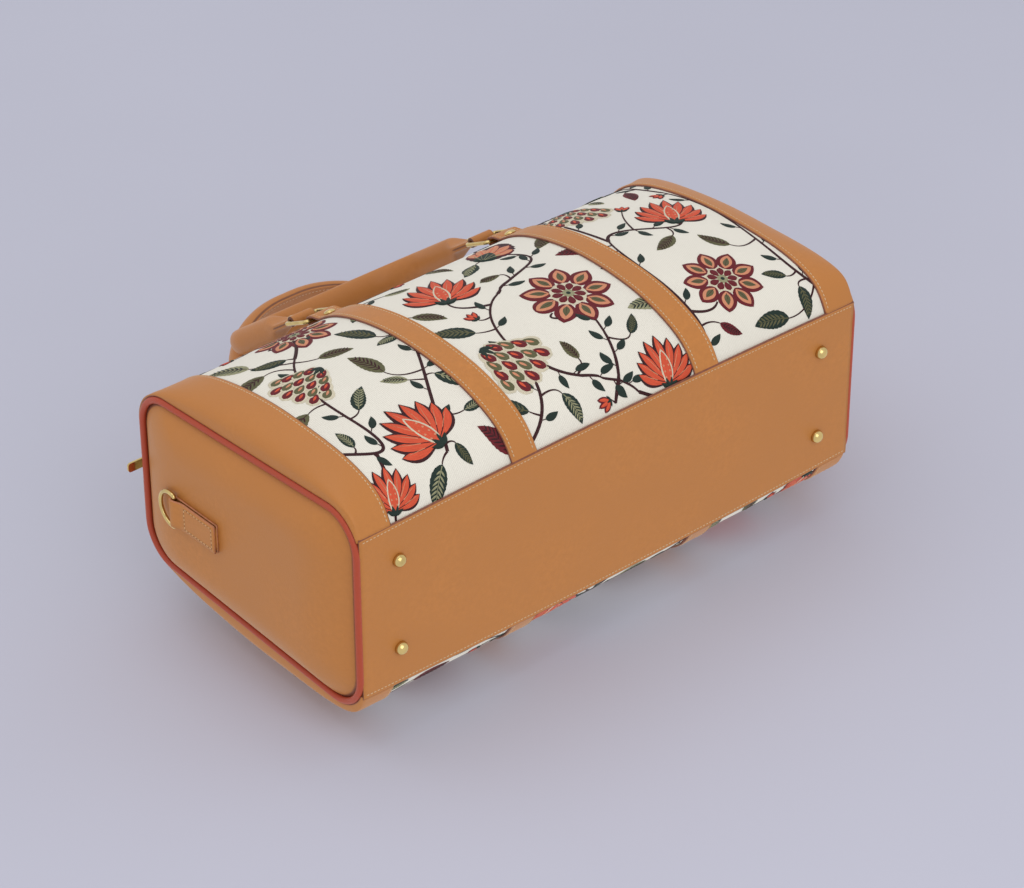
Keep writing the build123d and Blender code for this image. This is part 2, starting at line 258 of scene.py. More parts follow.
@dataclass(frozen=True)
class LeatherFinish:
    """Smooth hide with fine pebble grain, cloudy dye and painted edges.

    The edge attribute, 1 on a cut edge, mixes the dye into the edge paint; along the piping seams the same
    paint is painted shade.
    """

    name: str
    dye: Colour
    paint: Colour
    roughness: float = 0.46
    cloud_scale: float = 14.0
    speck_scale: float = 260.0
    pore_scale: float = 1150.0
    crease_depth: float = 0.0009
    pore_depth: float = 0.00022

    def make(self) -> bpy.types.Material:
        """Build the node material: clouds and specks in the dye, creases under pores.

        Returns:
            The material.
        """
        g = Graph(self.name)
        where = g.place(False)
        clouds = g.noise(where, self.cloud_scale, 4.0)
        specks = g.noise(where, self.speck_scale, 3.0)
        pores = g.add("TexVoronoi", {"Vector": where, "Scale": self.pore_scale}).outputs["Distance"]
        dye = g.mottle(clouds, (0.3, 0.72), self.dye, (0.92, 1.06))
        dye = g.mix(g.ramp(specks, 0.35, 0.75), shade(self.dye, 0.95), dye)
        paint = g.mottle(specks, (0.3, 0.7), self.paint, (1.0, 1.35))
        edge = g.add("Attribute", attribute_name="edge").outputs["Fac"]
        # Edge paint on cut edges, and painted shade where the trim lays it along the piping seams.
        colour = g.mix(g.ramp(edge, 0.25, 0.6), dye, paint)
        rough = g.span(clouds, self.roughness - 0.07, self.roughness + 0.1)
        creases = g.bump(clouds, self.crease_depth, 0.35)
        normal = g.bump(pores, self.pore_depth, 0.5, creases)
        return g.finish(Base_Color=colour, Roughness=rough, Normal=normal, Specular_IOR_Level=0.32,
                        Coat_Weight=0.03, Coat_Roughness=0.35)


@dataclass(frozen=True)
class CanvasFinish:
    """Cream cotton canvas woven in fine ribs, from UV in millimetres."""

    name: str = "cream_rib_canvas"
    yarn: Colour = (0.84, 0.795, 0.69)
    rib_pitch: float = 1.5
    pick_share: float = 0.7
    cloud_scale: float = 0.018
    slub_stretch: Colour = (0.6, 0.05, 1.0)
    weave_depth: float = 0.00028

    def make(self) -> bpy.types.Material:
        """Build the node material: ribs up the bag, darker between them as painted shade, crossed by finer
        picks.

        Returns:
            The material.
        """
        g = Graph(self.name)
        where = g.place(True)
        ribs = g.wave(where, WAVE / self.rib_pitch, "X", 0.6, 1.0, 0.6)
        picks = g.wave(where, WAVE / (self.pick_share * self.rib_pitch), "Y", 0.8, 1.0, 0.8)
        clouds = g.noise(where, self.cloud_scale, 3.0)
        slubs = g.noise(g.place(True, self.slub_stretch), 1.0, 2.0)
        colour = g.mottle(clouds, (0.3, 0.75), self.yarn, (0.93, 1.06))
        # Darker between the ribs: painted shade in the grooves of the weave.
        colour = g.mix(g.span(ribs, 0.0, 0.55), shade(self.yarn, 0.8), colour)
        colour = g.mix(g.span(g.ramp(slubs, 0.55, 0.8), 0.0, 0.3), colour, shade(self.yarn, 0.78))
        weave = g.maths("ADD", ribs, g.maths("MULTIPLY", picks, 0.35))
        return g.finish(Base_Color=colour, Roughness=0.86, Normal=g.bump(weave, self.weave_depth, 0.6),
                        Sheen_Weight=0.18, Sheen_Roughness=0.5)


@dataclass(frozen=True)
class ThreadFinish:
    """Satin thread laid side by side along a patch, from UV in millimetres."""

    name: str
    dye: Colour
    pitch: float = 0.9
    streak_stretch: Colour = (0.12, 1.4, 1.0)
    strand_depth: float = 0.00022

    def make(self) -> bpy.types.Material:
        """Build the node material: fine strands, darker between them as painted shade, with streaks that
        vary in tone.

        Returns:
            The material.
        """
        g = Graph(self.name)
        strands = g.wave(g.place(True), WAVE / self.pitch, "Y", 1.2, 1.0, 0.5)
        streaks = g.noise(g.place(True, self.streak_stretch), 1.0, 3.0)
        colour = g.mottle(streaks, (0.3, 0.7), self.dye, (0.72, 1.2))
        # Darker between the strands: painted shade in the gaps.
        colour = g.mix(g.span(strands, 0.0, 0.8), shade(self.dye, 0.6), colour)
        return g.finish(Base_Color=colour, Roughness=0.68, Normal=g.bump(strands, self.strand_depth, 0.55),
                        Specular_IOR_Level=0.22, Sheen_Weight=0.04, Sheen_Roughness=0.4)


@dataclass(frozen=True)
class BrassFinish:
    """Polished brass with faint brush marks and handling haze."""

    name: str = "polished_brass"
    metal: Colour = (0.66, 0.49, 0.20)
    haze_scale: float = 120.0
    brush_stretch: Colour = (1400.0, 260.0, 1400.0)
    brush_depth: float = 0.00005

    def make(self) -> bpy.types.Material:
        """Build the node material: haze in colour and gloss over fine brush marks.

        Returns:
            The material.
        """
        g = Graph(self.name)
        haze = g.noise(g.place(False), self.haze_scale, 4.0)
        marks = g.noise(g.place(False, self.brush_stretch), 1.0, 2.0)
        colour = g.mottle(haze, (0.35, 0.7), self.metal, (0.84, 1.08))
        return g.finish(Base_Color=colour, Metallic=1.0, Roughness=g.span(haze, 0.11, 0.25),
                        Normal=g.bump(marks, self.brush_depth, 0.35))


@dataclass(frozen=True)
class TapeFinish:
    """Woven zip tape with its twill painted lighter on the ridges and darker between them, as painted light
    and shade, from UV in millimetres.
    """

    name: str = "zip_tape_weave"
    yarn: Colour = (0.52, 0.40, 0.26)
    twill_scale: float = 0.42
    cloud_scale: float = 0.2
    twill_depth: float = 0.0002

    def make(self) -> bpy.types.Material:
        """Build the node material: slanting ribs under soft clouds.

        Returns:
            The material.
        """
        g = Graph(self.name)
        where = g.place(True)
        twill = g.wave(where, self.twill_scale, "DIAGONAL", 0.4)
        clouds = g.noise(where, self.cloud_scale, 2.0)
        # Lighter on the twill ridges and darker between them: painted light and shade.
        colour = g.mix(g.span(twill, 0.1, 0.9), shade(self.yarn, 0.72), shade(self.yarn, 1.1))
        colour = g.mix(g.span(clouds, 0.0, 0.4), colour, shade(self.yarn, 0.8))
        return g.finish(Base_Color=colour, Roughness=0.85, Normal=g.bump(twill, self.twill_depth, 0.6))


@dataclass(frozen=True)
class BoardFinish:
    """Grey-brown pressed fibre board."""

    name: str = "fibre_board"
    pulp: Colour = (0.30, 0.24, 0.17)
    fibre_stretch: Colour = (300.0, 90.0, 300.0)
    fibre_depth: float = 0.0002

    def make(self) -> bpy.types.Material:
        """Build the node material: stretched fibres in two shades.

        Returns:
            The material.
        """
        g = Graph(self.name)
        fibres = g.noise(g.place(False, self.fibre_stretch), 1.0, 4.0)
        colour = g.mottle(fibres, (0.3, 0.7), self.pulp, (0.8, 1.2))
        return g.finish(Base_Color=colour, Roughness=0.9, Normal=g.bump(fibres, self.fibre_depth, 0.4))


class Workshop:
    """Keeps one material per finish."""

    def __init__(self) -> None:
        """Start with no material made."""
        self.made: dict[str, bpy.types.Material] = {}

    def material(self, finish: Finish) -> bpy.types.Material:
        """The material of a finish, made on first use.

        Args:
            finish: The finish.

        Returns:
            Its material.
        """
        if finish.name not in self.made:
            self.made[finish.name] = finish.make()
        return self.made[finish.name]


WORKSHOP = Workshop()
# Dark edge paint of cut leather, also laid along the piping seams as painted shade.
EDGE_PAINT_AND_SEAM_SHADE: Colour = (0.17, 0.055, 0.03)
TAN_DYE: Colour = (0.466, 0.178, 0.0395)
SEWING_PITCH = 0.35
TAN = LeatherFinish("tan_hide", TAN_DYE, EDGE_PAINT_AND_SEAM_SHADE)
HANDLE_HIDE = LeatherFinish("handle_hide", (0.45, 0.172, 0.042), (0.10, 0.034, 0.02))
TAB_HIDE = LeatherFinish("tab_hide", TAN_DYE, (0.36, 0.14, 0.065))
RUST = LeatherFinish("rust_piping_hide", (0.39, 0.054, 0.021), EDGE_PAINT_AND_SEAM_SHADE, 0.42)
STITCH = ThreadFinish("cream_stitch_thread", (0.80, 0.59, 0.37), SEWING_PITCH)
TAB_STITCH = ThreadFinish("tan_stitch_thread", (0.76, 0.52, 0.28), SEWING_PITCH)
# Dark dots between the tab stitches: painted shade in the stitch holes.
PAINTED_HOLE_SHADE = ThreadFinish("stitch_hole_shade", (0.13, 0.05, 0.02), SEWING_PITCH)
BRASS = BrassFinish()
CANVAS = CanvasFinish()
TAPE = TapeFinish()
BOARD = BoardFinish()


# Surfaces


def grid_quads(rows: int, columns: int, loop_rows: bool, loop_columns: bool) -> Array:
    """Quads of a grid of points kept row by row.

    Args:
        rows: Rows of points.
        columns: Points in a row.
        loop_rows: True where the last row joins the first.
        loop_columns: True where the last column joins the first.

    Returns:
        Corner indices, four to a quad.
    """
    row = np.arange(rows if loop_rows else rows - 1)[:, None]
    column = np.arange(columns if loop_columns else columns - 1)[None, :]
    below = (row + 1) % rows
    right = (column + 1) % columns
    corners = (row * columns + column, row * columns + right, below * columns + right,
               below * columns + column)
    return np.stack([np.broadcast_to(c, corners[0].shape).ravel() for c in corners], axis=1)


@dataclass
class Patch:
    """Points in millimetres with their quads, UV in millimetres and edge paint."""

    points: Array
    quads: Array
    uv: Array
    edge: Array

    @staticmethod
    def join(patches: Sequence["Patch"]) -> "Patch":
        """Put several patches into one.

        Args:
            patches: The patches.

        Returns:
            One patch.
        """
        starts = np.cumsum([0] + [len(p.points) for p in patches[:-1]])
        return Patch(
            np.concatenate([p.points for p in patches]),
            np.concatenate([p.quads + start for p, start in zip(patches, starts)]),
            np.concatenate([p.uv for p in patches]),
            np.concatenate([p.edge for p in patches]),
        )

    @staticmethod
    def grid(points: Array, u: Places, v: Places, edge: Places = 0.0, loop_rows: bool = False,
             loop_columns: bool = True) -> "Patch":
        """A patch on a grid of points.

        Args:
            points: The points, row by row.
            u: First UV number of the points, or of their rows or columns.
            v: Second UV number.
            edge: Edge paint.
            loop_rows: True where the last row joins the first.
            loop_columns: True where the last column joins the first.

        Returns:
            The patch.
        """
        shape = points.shape[:2]
        u, v, edge = (np.broadcast_to(c, shape).ravel() for c in (u, v, edge))
        quads = grid_quads(*shape, loop_rows, loop_columns)
        return Patch(points.reshape(-1, 3), quads, np.stack([u, v], axis=1), edge)

    @staticmethod
    def tube(points: Array, u: Places, v: Places, edge: Places = 0.0) -> "Patch":
        """A patch whose rows loop round, with its first and last rows closed on their middles.

        Args:
            points: The points, row by row.
            u: First UV number of the points, or of their rows or columns.
            v: Second UV number.
            edge: Edge paint.

        Returns:
            The patch.
        """
        rows = np.concatenate([[0], np.arange(len(points)), [-1]])
        u, v, edge = (np.broadcast_to(c, points.shape[:2])[rows] for c in (u, v, edge))
        points = points[rows]
        points[[0, -1]] = points[[0, -1]].mean(axis=1, keepdims=True)
        return Patch.grid(points, u, v, edge)

    @staticmethod
    def copies(points: Array, quads: Array, uv: Array) -> "Patch":
        """Many copies of one small shape.

        Args:
            points: Points of each copy.
            quads: Quads of one copy.
            uv: UV of one copy or of each.

        Returns:
            The patch.
        """
        count, size = points.shape[:2]
        quads = quads + (np.arange(count) * size)[:, None, None]
        uv = np.broadcast_to(uv, (count, size, 2))
        return Patch(points.reshape(-1, 3), quads.reshape(-1, 4), uv.reshape(-1, 2), np.zeros(count * size))


def unit(vectors: Array) -> Array:
    """Vectors along the last axis brought to length 1."""
    return vectors / np.maximum(np.linalg.norm(vectors, axis=-1, keepdims=True), 1e-12)


def lengths_along(path: Array) -> Array:
    """Distance from the path's start to each of its points."""
    steps = np.linalg.norm(np.diff(path, axis=0), axis=-1)
    return np.concatenate([[0.0], np.cumsum(steps)])


def read_along(marks: Array, values: Array, places: Array) -> Array:
    """Read columns of values, known at the marks, at other places, straight between the marks."""
    return np.stack([np.interp(places, marks, column) for column in values.T], axis=1)


def respaced(path: Array, places: Array) -> Array:
    """Points at the given distances along a path, read on its straight runs."""
    return read_along(lengths_along(path), path, places)


def rounded_path(corners: Sequence[Pair], radii: Places, closed: bool, step: float) -> Array:
    """Straight runs between corners, joined by arcs.

    Each arc touches its two runs at radius / tan(half the corner's angle) from the corner.

    Args:
        corners: Corner points in the plane.
        radii: Radius of the arcs, one for all or one for each corner.
        closed: True where the last corner joins the first.
        step: Distance between the points given back.

    Returns:
        Evenly spaced points; a closed path doesn't repeat its first point.
    """
    points = np.asarray(corners, float)
    inner = range(len(points)) if closed else range(1, len(points) - 1)
    parts = [] if closed else [points[:1]]
    radii = np.broadcast_to(radii, len(points))
    arc_points = 25
    for index in inner:
        at = points[index]
        radius = float(radii[index])
        before = unit(points[index - 1] - at)
        after = unit(points[(index + 1) % len(points)] - at)
        half = math.acos(float(np.clip(before @ after, -1, 1))) / 2
        centre = at + unit(before + after) * radius / math.sin(half)
        start, stop = (at + arm * radius / math.tan(half) - centre for arm in (before, after))
        angle = math.atan2(start[1], start[0])
        turn = (math.atan2(stop[1], stop[0]) - angle + math.pi) % (2 * math.pi) - math.pi
        angles = angle + turn * np.linspace(0, 1, arc_points)
        parts.append(centre + radius * np.stack([np.cos(angles), np.sin(angles)], axis=1))
    parts.append(parts[0][:1] if closed else points[-1:])
    path = np.concatenate(parts)
    total = lengths_along(path)[-1]
    count = max(4, round(total / step))
    places = np.linspace(0, total, count + 1)
    return respaced(path, places[:-1] if closed else places)


def tangents(path: Array, closed: bool) -> Array:
    """Directions along a path, from the points before and after each one.

    Args:
        path: Points of the path.
        closed: True for a path that returns to its start.

    Returns:
        Unit directions.
    """
    if closed:
        return unit(np.roll(path, -1, axis=0) - np.roll(path, 1, axis=0))
    return unit(np.gradient(path, axis=0))


def carried(path: Array, flat: Array, section: Array, edge: Places, closed: bool) -> Patch:
    """A closed section carried along a flat path.

    A point is the path's point, plus the section's first number across the path in its plane,
    plus its second number along the plane's normal. Open ends close on their middle.

    Args:
        path: Points of the path.
        flat: Normal of the path's plane.
        section: Section points for each path point, or one section for all.
        edge: Edge paint of each section point.
        closed: True for a path that returns to its start.

    Returns:
        The patch.
    """
    section = np.broadcast_to(section, (len(path), *section.shape[-2:]))
    across = np.cross(tangents(path, closed), flat)
    points = path[:, None] + section[..., :1] * across[:, None] + section[..., 1:] * flat
    along = lengths_along(path)[:, None]
    around = lengths_along(section[len(path) // 2])
    if closed:
        return Patch.grid(points, along, around, edge, loop_rows=True)
    return Patch.tube(points, along, around, edge)


def round_section(radius: float, sides: int = 14) -> Array:
    """Circle of the given radius as a section."""
    angles = np.linspace(0, 2 * math.pi, sides, endpoint=False)
    return radius * np.stack([np.cos(angles), np.sin(angles)], axis=1)


RIM_POINTS = 5
RIM_TURN = np.linspace(-70, 70, RIM_POINTS) * math.pi / 180


def hide_section(width: float, thickness: float, across: int = 7) -> tuple[Array, Array, Array]:
    """Section of a strip of hide: flat below, rounded edges, a slight crown on top.

    Args:
        width: Width of the strip.
        thickness: Its thickness at the crown.
        across: Points across the top and the underside.

    Returns:
        Places across the width, heights over the underside, and edge paint, for a closed loop.
    """
    half = width / 2
    radius = thickness / 2
    rim_share = 0.7
    crown_drop = 0.06
    flat = np.linspace(-1, 1, across) * (half - rim_share * radius)
    right = half - radius + radius * np.cos(RIM_TURN)
    rise = radius + radius * np.sin(RIM_TURN)
    crown = thickness * (1 - crown_drop * (flat / half) ** 2)
    place = np.concatenate([flat, right, flat[::-1], -right])
    height = np.concatenate([np.zeros(across), rise, crown[::-1], rise[::-1]])
    none = np.zeros(across)
    painted = np.array([0.6, 1.0, 1.0, 1.0, 0.3])
    return place, height, np.concatenate([none, painted, none, painted[::-1]])


@dataclass(frozen=True)
class Stud:
    """A domed head: a short upright rim, then a quarter ellipse up to the axis."""

    radius: float
    height: float
    rim: float
    stem: float
    foot_share: float = 0.94
    bevel_share: float = 0.2
    dome_points: int = 9
    round_points: int = 28

    def seated(self, foot: Array, out: Array) -> Patch:
        """Turn the head's profile about an axis.

        Args:
            foot: Point of the axis on the seat; the closed underside lies the stem below it.
            out: Direction of the axis.

        Returns:
            The patch, closed where the profile starts and ends on the axis.
        """
        angles = np.linspace(0, math.pi / 2, self.dome_points)
        dome = np.stack([self.radius * np.cos(angles),
                         self.rim + (self.height - self.rim) * np.sin(angles)], axis=1)
        under = np.array([[0.0, -self.stem], [self.foot_share * self.radius, -self.stem],
                          [self.radius, self.bevel_share * self.rim]])
        profile = np.concatenate([under, dome])
        out = unit(out)
        first = unit(np.cross(out, Y_AXIS if abs(out[0]) > 0.7 else X_AXIS))
        second = np.cross(out, first)
        round_angles = np.linspace(0, 2 * math.pi, self.round_points, endpoint=False)
        radial = np.cos(round_angles)[:, None] * first + np.sin(round_angles)[:, None] * second
        points = foot + profile[:, None, :1] * radial + profile[:, None, 1:] * out
        return Patch.grid(points, profile[:, :1], round_angles)


@dataclass(frozen=True)
class Stitching:
    """Short raised stitches, with the place of the first one in pitches.

    Each stitch is half an ellipse carried along its seam, thinned to nothing at its two ends by the
    square root of one less the fourth power of the way along it, from -1 to 1.
    """

    pitch: float = 3.3
    length: float = 2.4
    start: float = 0.5
    half_width: float = 0.4
    rise: float = 0.34
    sunk: float = 0.06
    rows: int = 6
    columns: int = 5

    def row(self, path: Array, normal: Array) -> Patch:
        """A row of stitches along a path.

        Args:
            path: Points of the seam line.
            normal: Outward directions at those points.

        Returns:
            The patch of all the stitches.
        """
        marks = lengths_along(path)
        count = max(2, int(marks[-1] / self.pitch))
        places = (np.arange(count) + self.start) * marks[-1] / count
        near = self.half_width
        ahead = unit(respaced(path, places + near) - respaced(path, places - near))
        out = unit(read_along(marks, normal, places))
        way = np.linspace(-1, 1, self.rows)[:, None]
        taper = np.sqrt(np.maximum(0.0, 1 - way ** 4))
        turn = np.linspace(0, math.pi, self.columns)
        shape = np.stack(np.broadcast_arrays(
            way * self.length / 2,
            taper * self.half_width * np.cos(turn),
            taper * self.rise * np.sin(turn) - self.sunk,
        ), axis=-1).reshape(-1, 3)
        axes = np.stack([ahead, np.cross(out, ahead), out], axis=1)
        points = respaced(path, places)[:, None] + np.einsum("pk,nkd->npd", shape, axes)
        quads = grid_quads(self.rows, self.columns, False, False)[:, ::-1]
        return Patch.copies(points, quads, shape[:, :2])


SEWN = Stitching()


def spline_weights(knots: Array, places: Array) -> Array:
    """Weights that read a natural cubic spline.

    The spline's second derivatives solve the usual three-term system, with none at both ends; a
    value is the straight mix of its two knots plus the cubic terms of their second derivatives.

    Args:
        knots: Places of the known values.
        places: Places to read.

    Returns:
        One row of knot weights per place.
    """
    count = len(knots)
    gaps = np.diff(knots)
    system = np.eye(count)
    right = np.zeros((count, count))
    inner = np.arange(1, count - 1)
    system[inner, inner - 1] = gaps[:-1]
    system[inner, inner] = 2 * (gaps[:-1] + gaps[1:])
    system[inner, inner + 1] = gaps[1:]
    right[inner, inner - 1] = 6 / gaps[:-1]
    right[inner, inner] = -6 / gaps[:-1] - 6 / gaps[1:]
    right[inner, inner + 1] = 6 / gaps[1:]
    bend = np.linalg.solve(system, right)
    low = np.clip(np.searchsorted(knots, places, side="right") - 1, 0, count - 2)
    first = ((knots[low + 1] - places) / gaps[low])[:, None]
    second = 1 - first
    cubic = (first ** 3 - first) * bend[low] + (second ** 3 - second) * bend[low + 1]
    ones = np.eye(count)
    return first * ones[low] + second * ones[low + 1] + cubic * (gaps[low] ** 2)[:, None] / 6


@dataclass
class BagForm:
    """Filled canvas body as a surface over the place along the bag and the share up its side.

    With fullness = (1 - |2x / reach| ** 3) ** (1 / 3), each knot of the cross-section lies between
    its belly place and its end-seam place by that share, and a natural spline joins the knots.
    Turning an angle from -90 to 90 degrees gives x = (reach / 2) sin ** (2 / 3) and fullness =
    cos ** (2 / 3), which spaces the stations evenly round the shoulders. A knot holds its belly
    width and height and its end-seam width and height, as shares of the depths and the height.
    """

    reach: float = 500.0
    depth: float = 240.0
    height: float = 262.5
    end_depth: float = 178.0
    crest: float = 24.0
    floor: float = 8.0
    stations: int = 241
    steps: int = 221
    fine: int = 4
    knots: tuple = (
        (0.600, 0.000, 0.770, 0.000),
        (0.758, 0.050, 0.927, 0.021),
        (0.883, 0.145, 0.992, 0.088),
        (0.983, 0.328, 0.962, 0.335),
        (1.000, 0.488, 0.938, 0.495),
        (0.933, 0.697, 0.905, 0.705),
        (0.750, 0.865, 0.865, 0.897),
        (0.458, 0.968, 0.740, 0.980),
        (0.270, 0.993, 0.500, 1.000),
    )
    places: Array = field(init=False, repr=False)
    normals: Array = field(init=False, repr=False)
    girth: float = field(init=False)

    def __post_init__(self) -> None:
        """Work out the table of points and normals of the back half."""
        angles = np.linspace(-math.pi / 2, math.pi / 2, self.stations)
        x = self.reach / 2 * np.sign(angles) * np.abs(np.sin(angles)) ** (2 / 3)
        full = np.cos(angles)[:, None] ** (2 / 3)
        belly_y, belly_z, end_y, end_z = np.array(self.knots).T
        y = (full * belly_y * self.depth + (1 - full) * end_y * self.end_depth) / 2
        z = self.floor + self.height * (full * belly_z + (1 - full) * end_z)
        crest = np.ones((self.stations, 1))
        y = np.concatenate([y, crest * self.crest / 2], axis=1)
        z = np.concatenate([z, crest * (self.floor + self.height)], axis=1)
        chords = np.hypot(np.diff(y, axis=1), np.diff(z, axis=1)).mean(axis=0)
        marks = np.concatenate([[0.0], np.cumsum(chords)])
        weights = spline_weights(marks, np.linspace(0, marks[-1], self.fine * self.steps))
        y, z = y @ weights.T, z @ weights.T
        run = np.cumsum(np.hypot(np.diff(y, axis=1), np.diff(z, axis=1)), axis=1)
        run = np.concatenate([np.zeros((self.stations, 1)), run], axis=1)
        self.girth = float(run[self.stations // 2, -1])
        share = np.linspace(0, 1, self.steps)
        sides = np.stack([read_along(marks, line, share * marks[-1])
                          for marks, line in zip(run, np.stack([y, z], axis=2))])
        x = np.broadcast_to(x[:, None, None], (*sides.shape[:2], 1))
        self.places = np.concatenate([x, sides], axis=2)
        self.normals = unit(np.cross(np.gradient(self.places, axis=1), np.gradient(self.places, axis=0)))

    def angle(self, x: Places) -> Array:
        """The station angle at x."""
        x = np.asarray(x, float)
        return np.sign(x) * np.arcsin(np.clip(np.abs(2 * x / self.reach), 0, 1) ** 1.5)

    def read(self, table: Array, angle: Array, share: Array) -> Array:
        """Read a table between its stations and steps, straight in both directions.

        Args:
            table: Vectors by station and step.
            angle: Station angles.
            share: Shares of the way from the floor to the crest.

        Returns:
            The vectors there.
        """
        row = np.clip((angle / math.pi + 0.5) * (self.stations - 1), 0, self.stations - 1.0001)
        column = np.clip(share * (self.steps - 1), 0, self.steps - 1.0001)
        r, c = row.astype(int), column.astype(int)
        p, q = (row - r)[..., None], (column - c)[..., None]
        return ((1 - p) * (1 - q) * table[r, c] + p * (1 - q) * table[r + 1, c]
                + (1 - p) * q * table[r, c + 1] + p * q * table[r + 1, c + 1])

    def at(self, angle: Places, share: Places, lift: Places, side: Side) -> Array:
        """Points on the canvas, lifted along its normals.

        Args:
            angle: Station angles.
            share: Shares of the way from the floor to the crest.
            lift: Heights over the canvas.
            side: Front or back.

        Returns:
            The points.
        """
        angle, share, lift = np.broadcast_arrays(*(np.asarray(v, float) for v in (angle, share, lift)))
        points = self.read(self.places, angle, share)
        points = points + lift[..., None] * unit(self.read(self.normals, angle, share))
        return points * np.array([1.0, side.value, 1.0])

    def out(self, angle: Places, share: Places, side: Side) -> Array:
        """Outward normals of the canvas."""
        angle, share = np.broadcast_arrays(np.asarray(angle, float), np.asarray(share, float))
        return unit(self.read(self.normals, angle, share)) * np.array([1.0, side.value, 1.0])


@dataclass(frozen=True)
class Layout:
    """Sizes and places that several assemblies share."""

    hide: float = 2.0
    base: float = 6.0
    strap_x: float = 92.0
    ring_eye: Pair = (84.4682, 247.708)
    ring_lean: float = 28.0
    ring_reach: float = 29.0
    d_bar: Pair = (267.8, 208.0)

    def leaning(self, side: Side, lean: float) -> Array:
        """Direction up from a bar, leaning in over the bag by degrees."""
        turn = math.radians(lean)
        return np.array([0.0, -side.value * math.sin(turn), math.cos(turn)])

    def eye(self, side: Side, end: End) -> Array:
        """Middle of a handle ring's lower bar."""
        return np.array([end.value * self.strap_x, side.value * self.ring_eye[0], self.ring_eye[1]])

    def bar(self, side: Side, end: End) -> Array:
        """Middle of a handle ring's upper bar."""
        return self.eye(side, end) + self.ring_reach * self.leaning(side, self.ring_lean)


@dataclass(frozen=True)
class EndSeam:
    """Rounded trapezoid of the two end seams, as (y, z)."""

    half_bottom: float = 86.5
    half_top: float = 73.7
    low: float = 8.5
    high: float = 268.0
    corner: float = 30.0

    def line(self, grow: float, step: float) -> Array:
        """The seam line, grown outwards.

        Args:
            grow: Distance out from the seam, which the corners grow by too.
            step: Distance between points.

        Returns:
            Points of the closed line.
        """
        bottom, top = self.half_bottom + grow, self.half_top + grow
        low, high = self.low - grow, self.high + grow
        corners = [(-bottom, low), (bottom, low), (top, high), (-top, high)]
        return rounded_path(corners, self.corner + grow, True, step)


FORM = BagForm()
LAYOUT = Layout()
END_SEAM = EndSeam()


# Making pieces


def make_piece(name: str, patch: Patch, finish: Finish, body: str, replaces: Sequence[str] = (),
               closed: bool = True) -> bpy.types.Object:
    """Turn a patch into a dressed piece that rides on a body.

    Args:
        name: Name of the piece.
        patch: Its surface.
        finish: Its finish.
        body: Body that carries it.
        replaces: CAD nodes that it stands for.
        closed: True for a closed surface, whose faces are turned outwards.

    Returns:
        The object.
    """
    mesh = bpy.data.meshes.new(name)
    mesh.from_pydata((patch.points * MM).tolist(), [], patch.quads.tolist())
    corners = np.zeros(len(mesh.loops), np.int32)
    mesh.loops.foreach_get("vertex_index", corners)
    uv = mesh.uv_layers.new(name="lay")
    uv.data.foreach_set("uv", patch.uv[corners].astype(np.float32).ravel())
    paint = mesh.attributes.new("edge", "FLOAT", "POINT")
    paint.data.foreach_set("value", patch.edge.astype(np.float32))
    work = bmesh.new()
    work.from_mesh(mesh)
    bmesh.ops.remove_doubles(work, verts=work.verts, dist=MERGE)
    if closed:
        bmesh.ops.recalc_face_normals(work, faces=work.faces)
    work.to_mesh(mesh)
    work.free()
    mesh.polygons.foreach_set("use_smooth", np.ones(len(mesh.polygons), bool))
    mesh.materials.append(WORKSHOP.material(finish))
    obj = bpy.data.objects.new(name, mesh)
    bpy.context.scene.collection.objects.link(obj)
    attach(obj, body)
    if replaces:
        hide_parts(*replaces)
    LOG.info("%s: %d faces on %s", name, len(mesh.polygons), body)
    return obj


def sew(name: str, rows: Sequence[Patch], body: str = "bag", finish: Finish = STITCH) -> None:
    """Make one piece of rows of stitches."""
    make_piece(name, Patch.join(rows), finish, body, closed=False)


def dress_node(node: str, finish: Finish) -> None:
    """Give a CAD node's object the material of a finish.

    Args:
        node: Name of the node.
        finish: The finish.
    """
    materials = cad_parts[node].data.materials
    materials.clear()
    materials.append(WORKSHOP.material(finish))
    LOG.info("%s: carried over in %s", node, finish.name)


# Canvas and its embroidery


@dataclass
class CanvasBody:
    """Filled canvas with its crest and flat base, closed under the bands."""

    half_length: float = 245.5
    columns: int = 161
    rows: int = 111

    def build(self) -> None:
        """Carry the cross-section along the bag: up the front, over the crest, down the back."""
        angles = np.linspace(*FORM.angle([-self.half_length, self.half_length]), self.columns)[:, None]
        share = np.linspace(0, 1, self.rows)
        front = FORM.at(angles, share, 0.0, Side.FRONT)
        back = FORM.at(angles, share[::-1], 0.0, Side.BACK)
        rings = np.concatenate([front, back], axis=1)
        up = np.concatenate([share, 2 - share[::-1]]) * FORM.girth
        patch = Patch.tube(rings, rings[..., 0], up)
        body = make_piece("canvas_shell", patch, CANVAS, "bag", ["canvas_body"])


class Thread(Enum):
    """Embroidery threads and their dyes."""

    STEM = (0.050, 0.010, 0.013)
    MAROON = (0.165, 0.013, 0.020)
    CORAL = (0.78, 0.105, 0.045)
    PEACH = (0.76, 0.31, 0.17)
    GREEN = (0.016, 0.034, 0.026)
    OLIVE = (0.135, 0.128, 0.058)
    SAGE = (0.36, 0.35, 0.20)
    CREAM = (0.78, 0.70, 0.52)

    @property
    def finish(self) -> ThreadFinish:
        """Satin finish of the thread."""
        return ThreadFinish(f"{self.name.lower()}_thread", self.value)


class Bloom(Enum):
    """Kinds of flower in the embroidery."""

    STAR = "star"
    SCALES = "scales"
    LOTUS = "lotus"
    THISTLE = "thistle"


@dataclass(frozen=True)
class Petal:
    """A petal's thread, its start, length and width as shares of its flower, and its height.

    Half its width swells as sin(pi t ** a) ** b from base to tip, with the powers a and b of ease.
    """

    thread: Thread
    start: float
    length: float
    width: float
    level: float
    ease: Pair = (0.8, 0.8)
    rows: int = 13


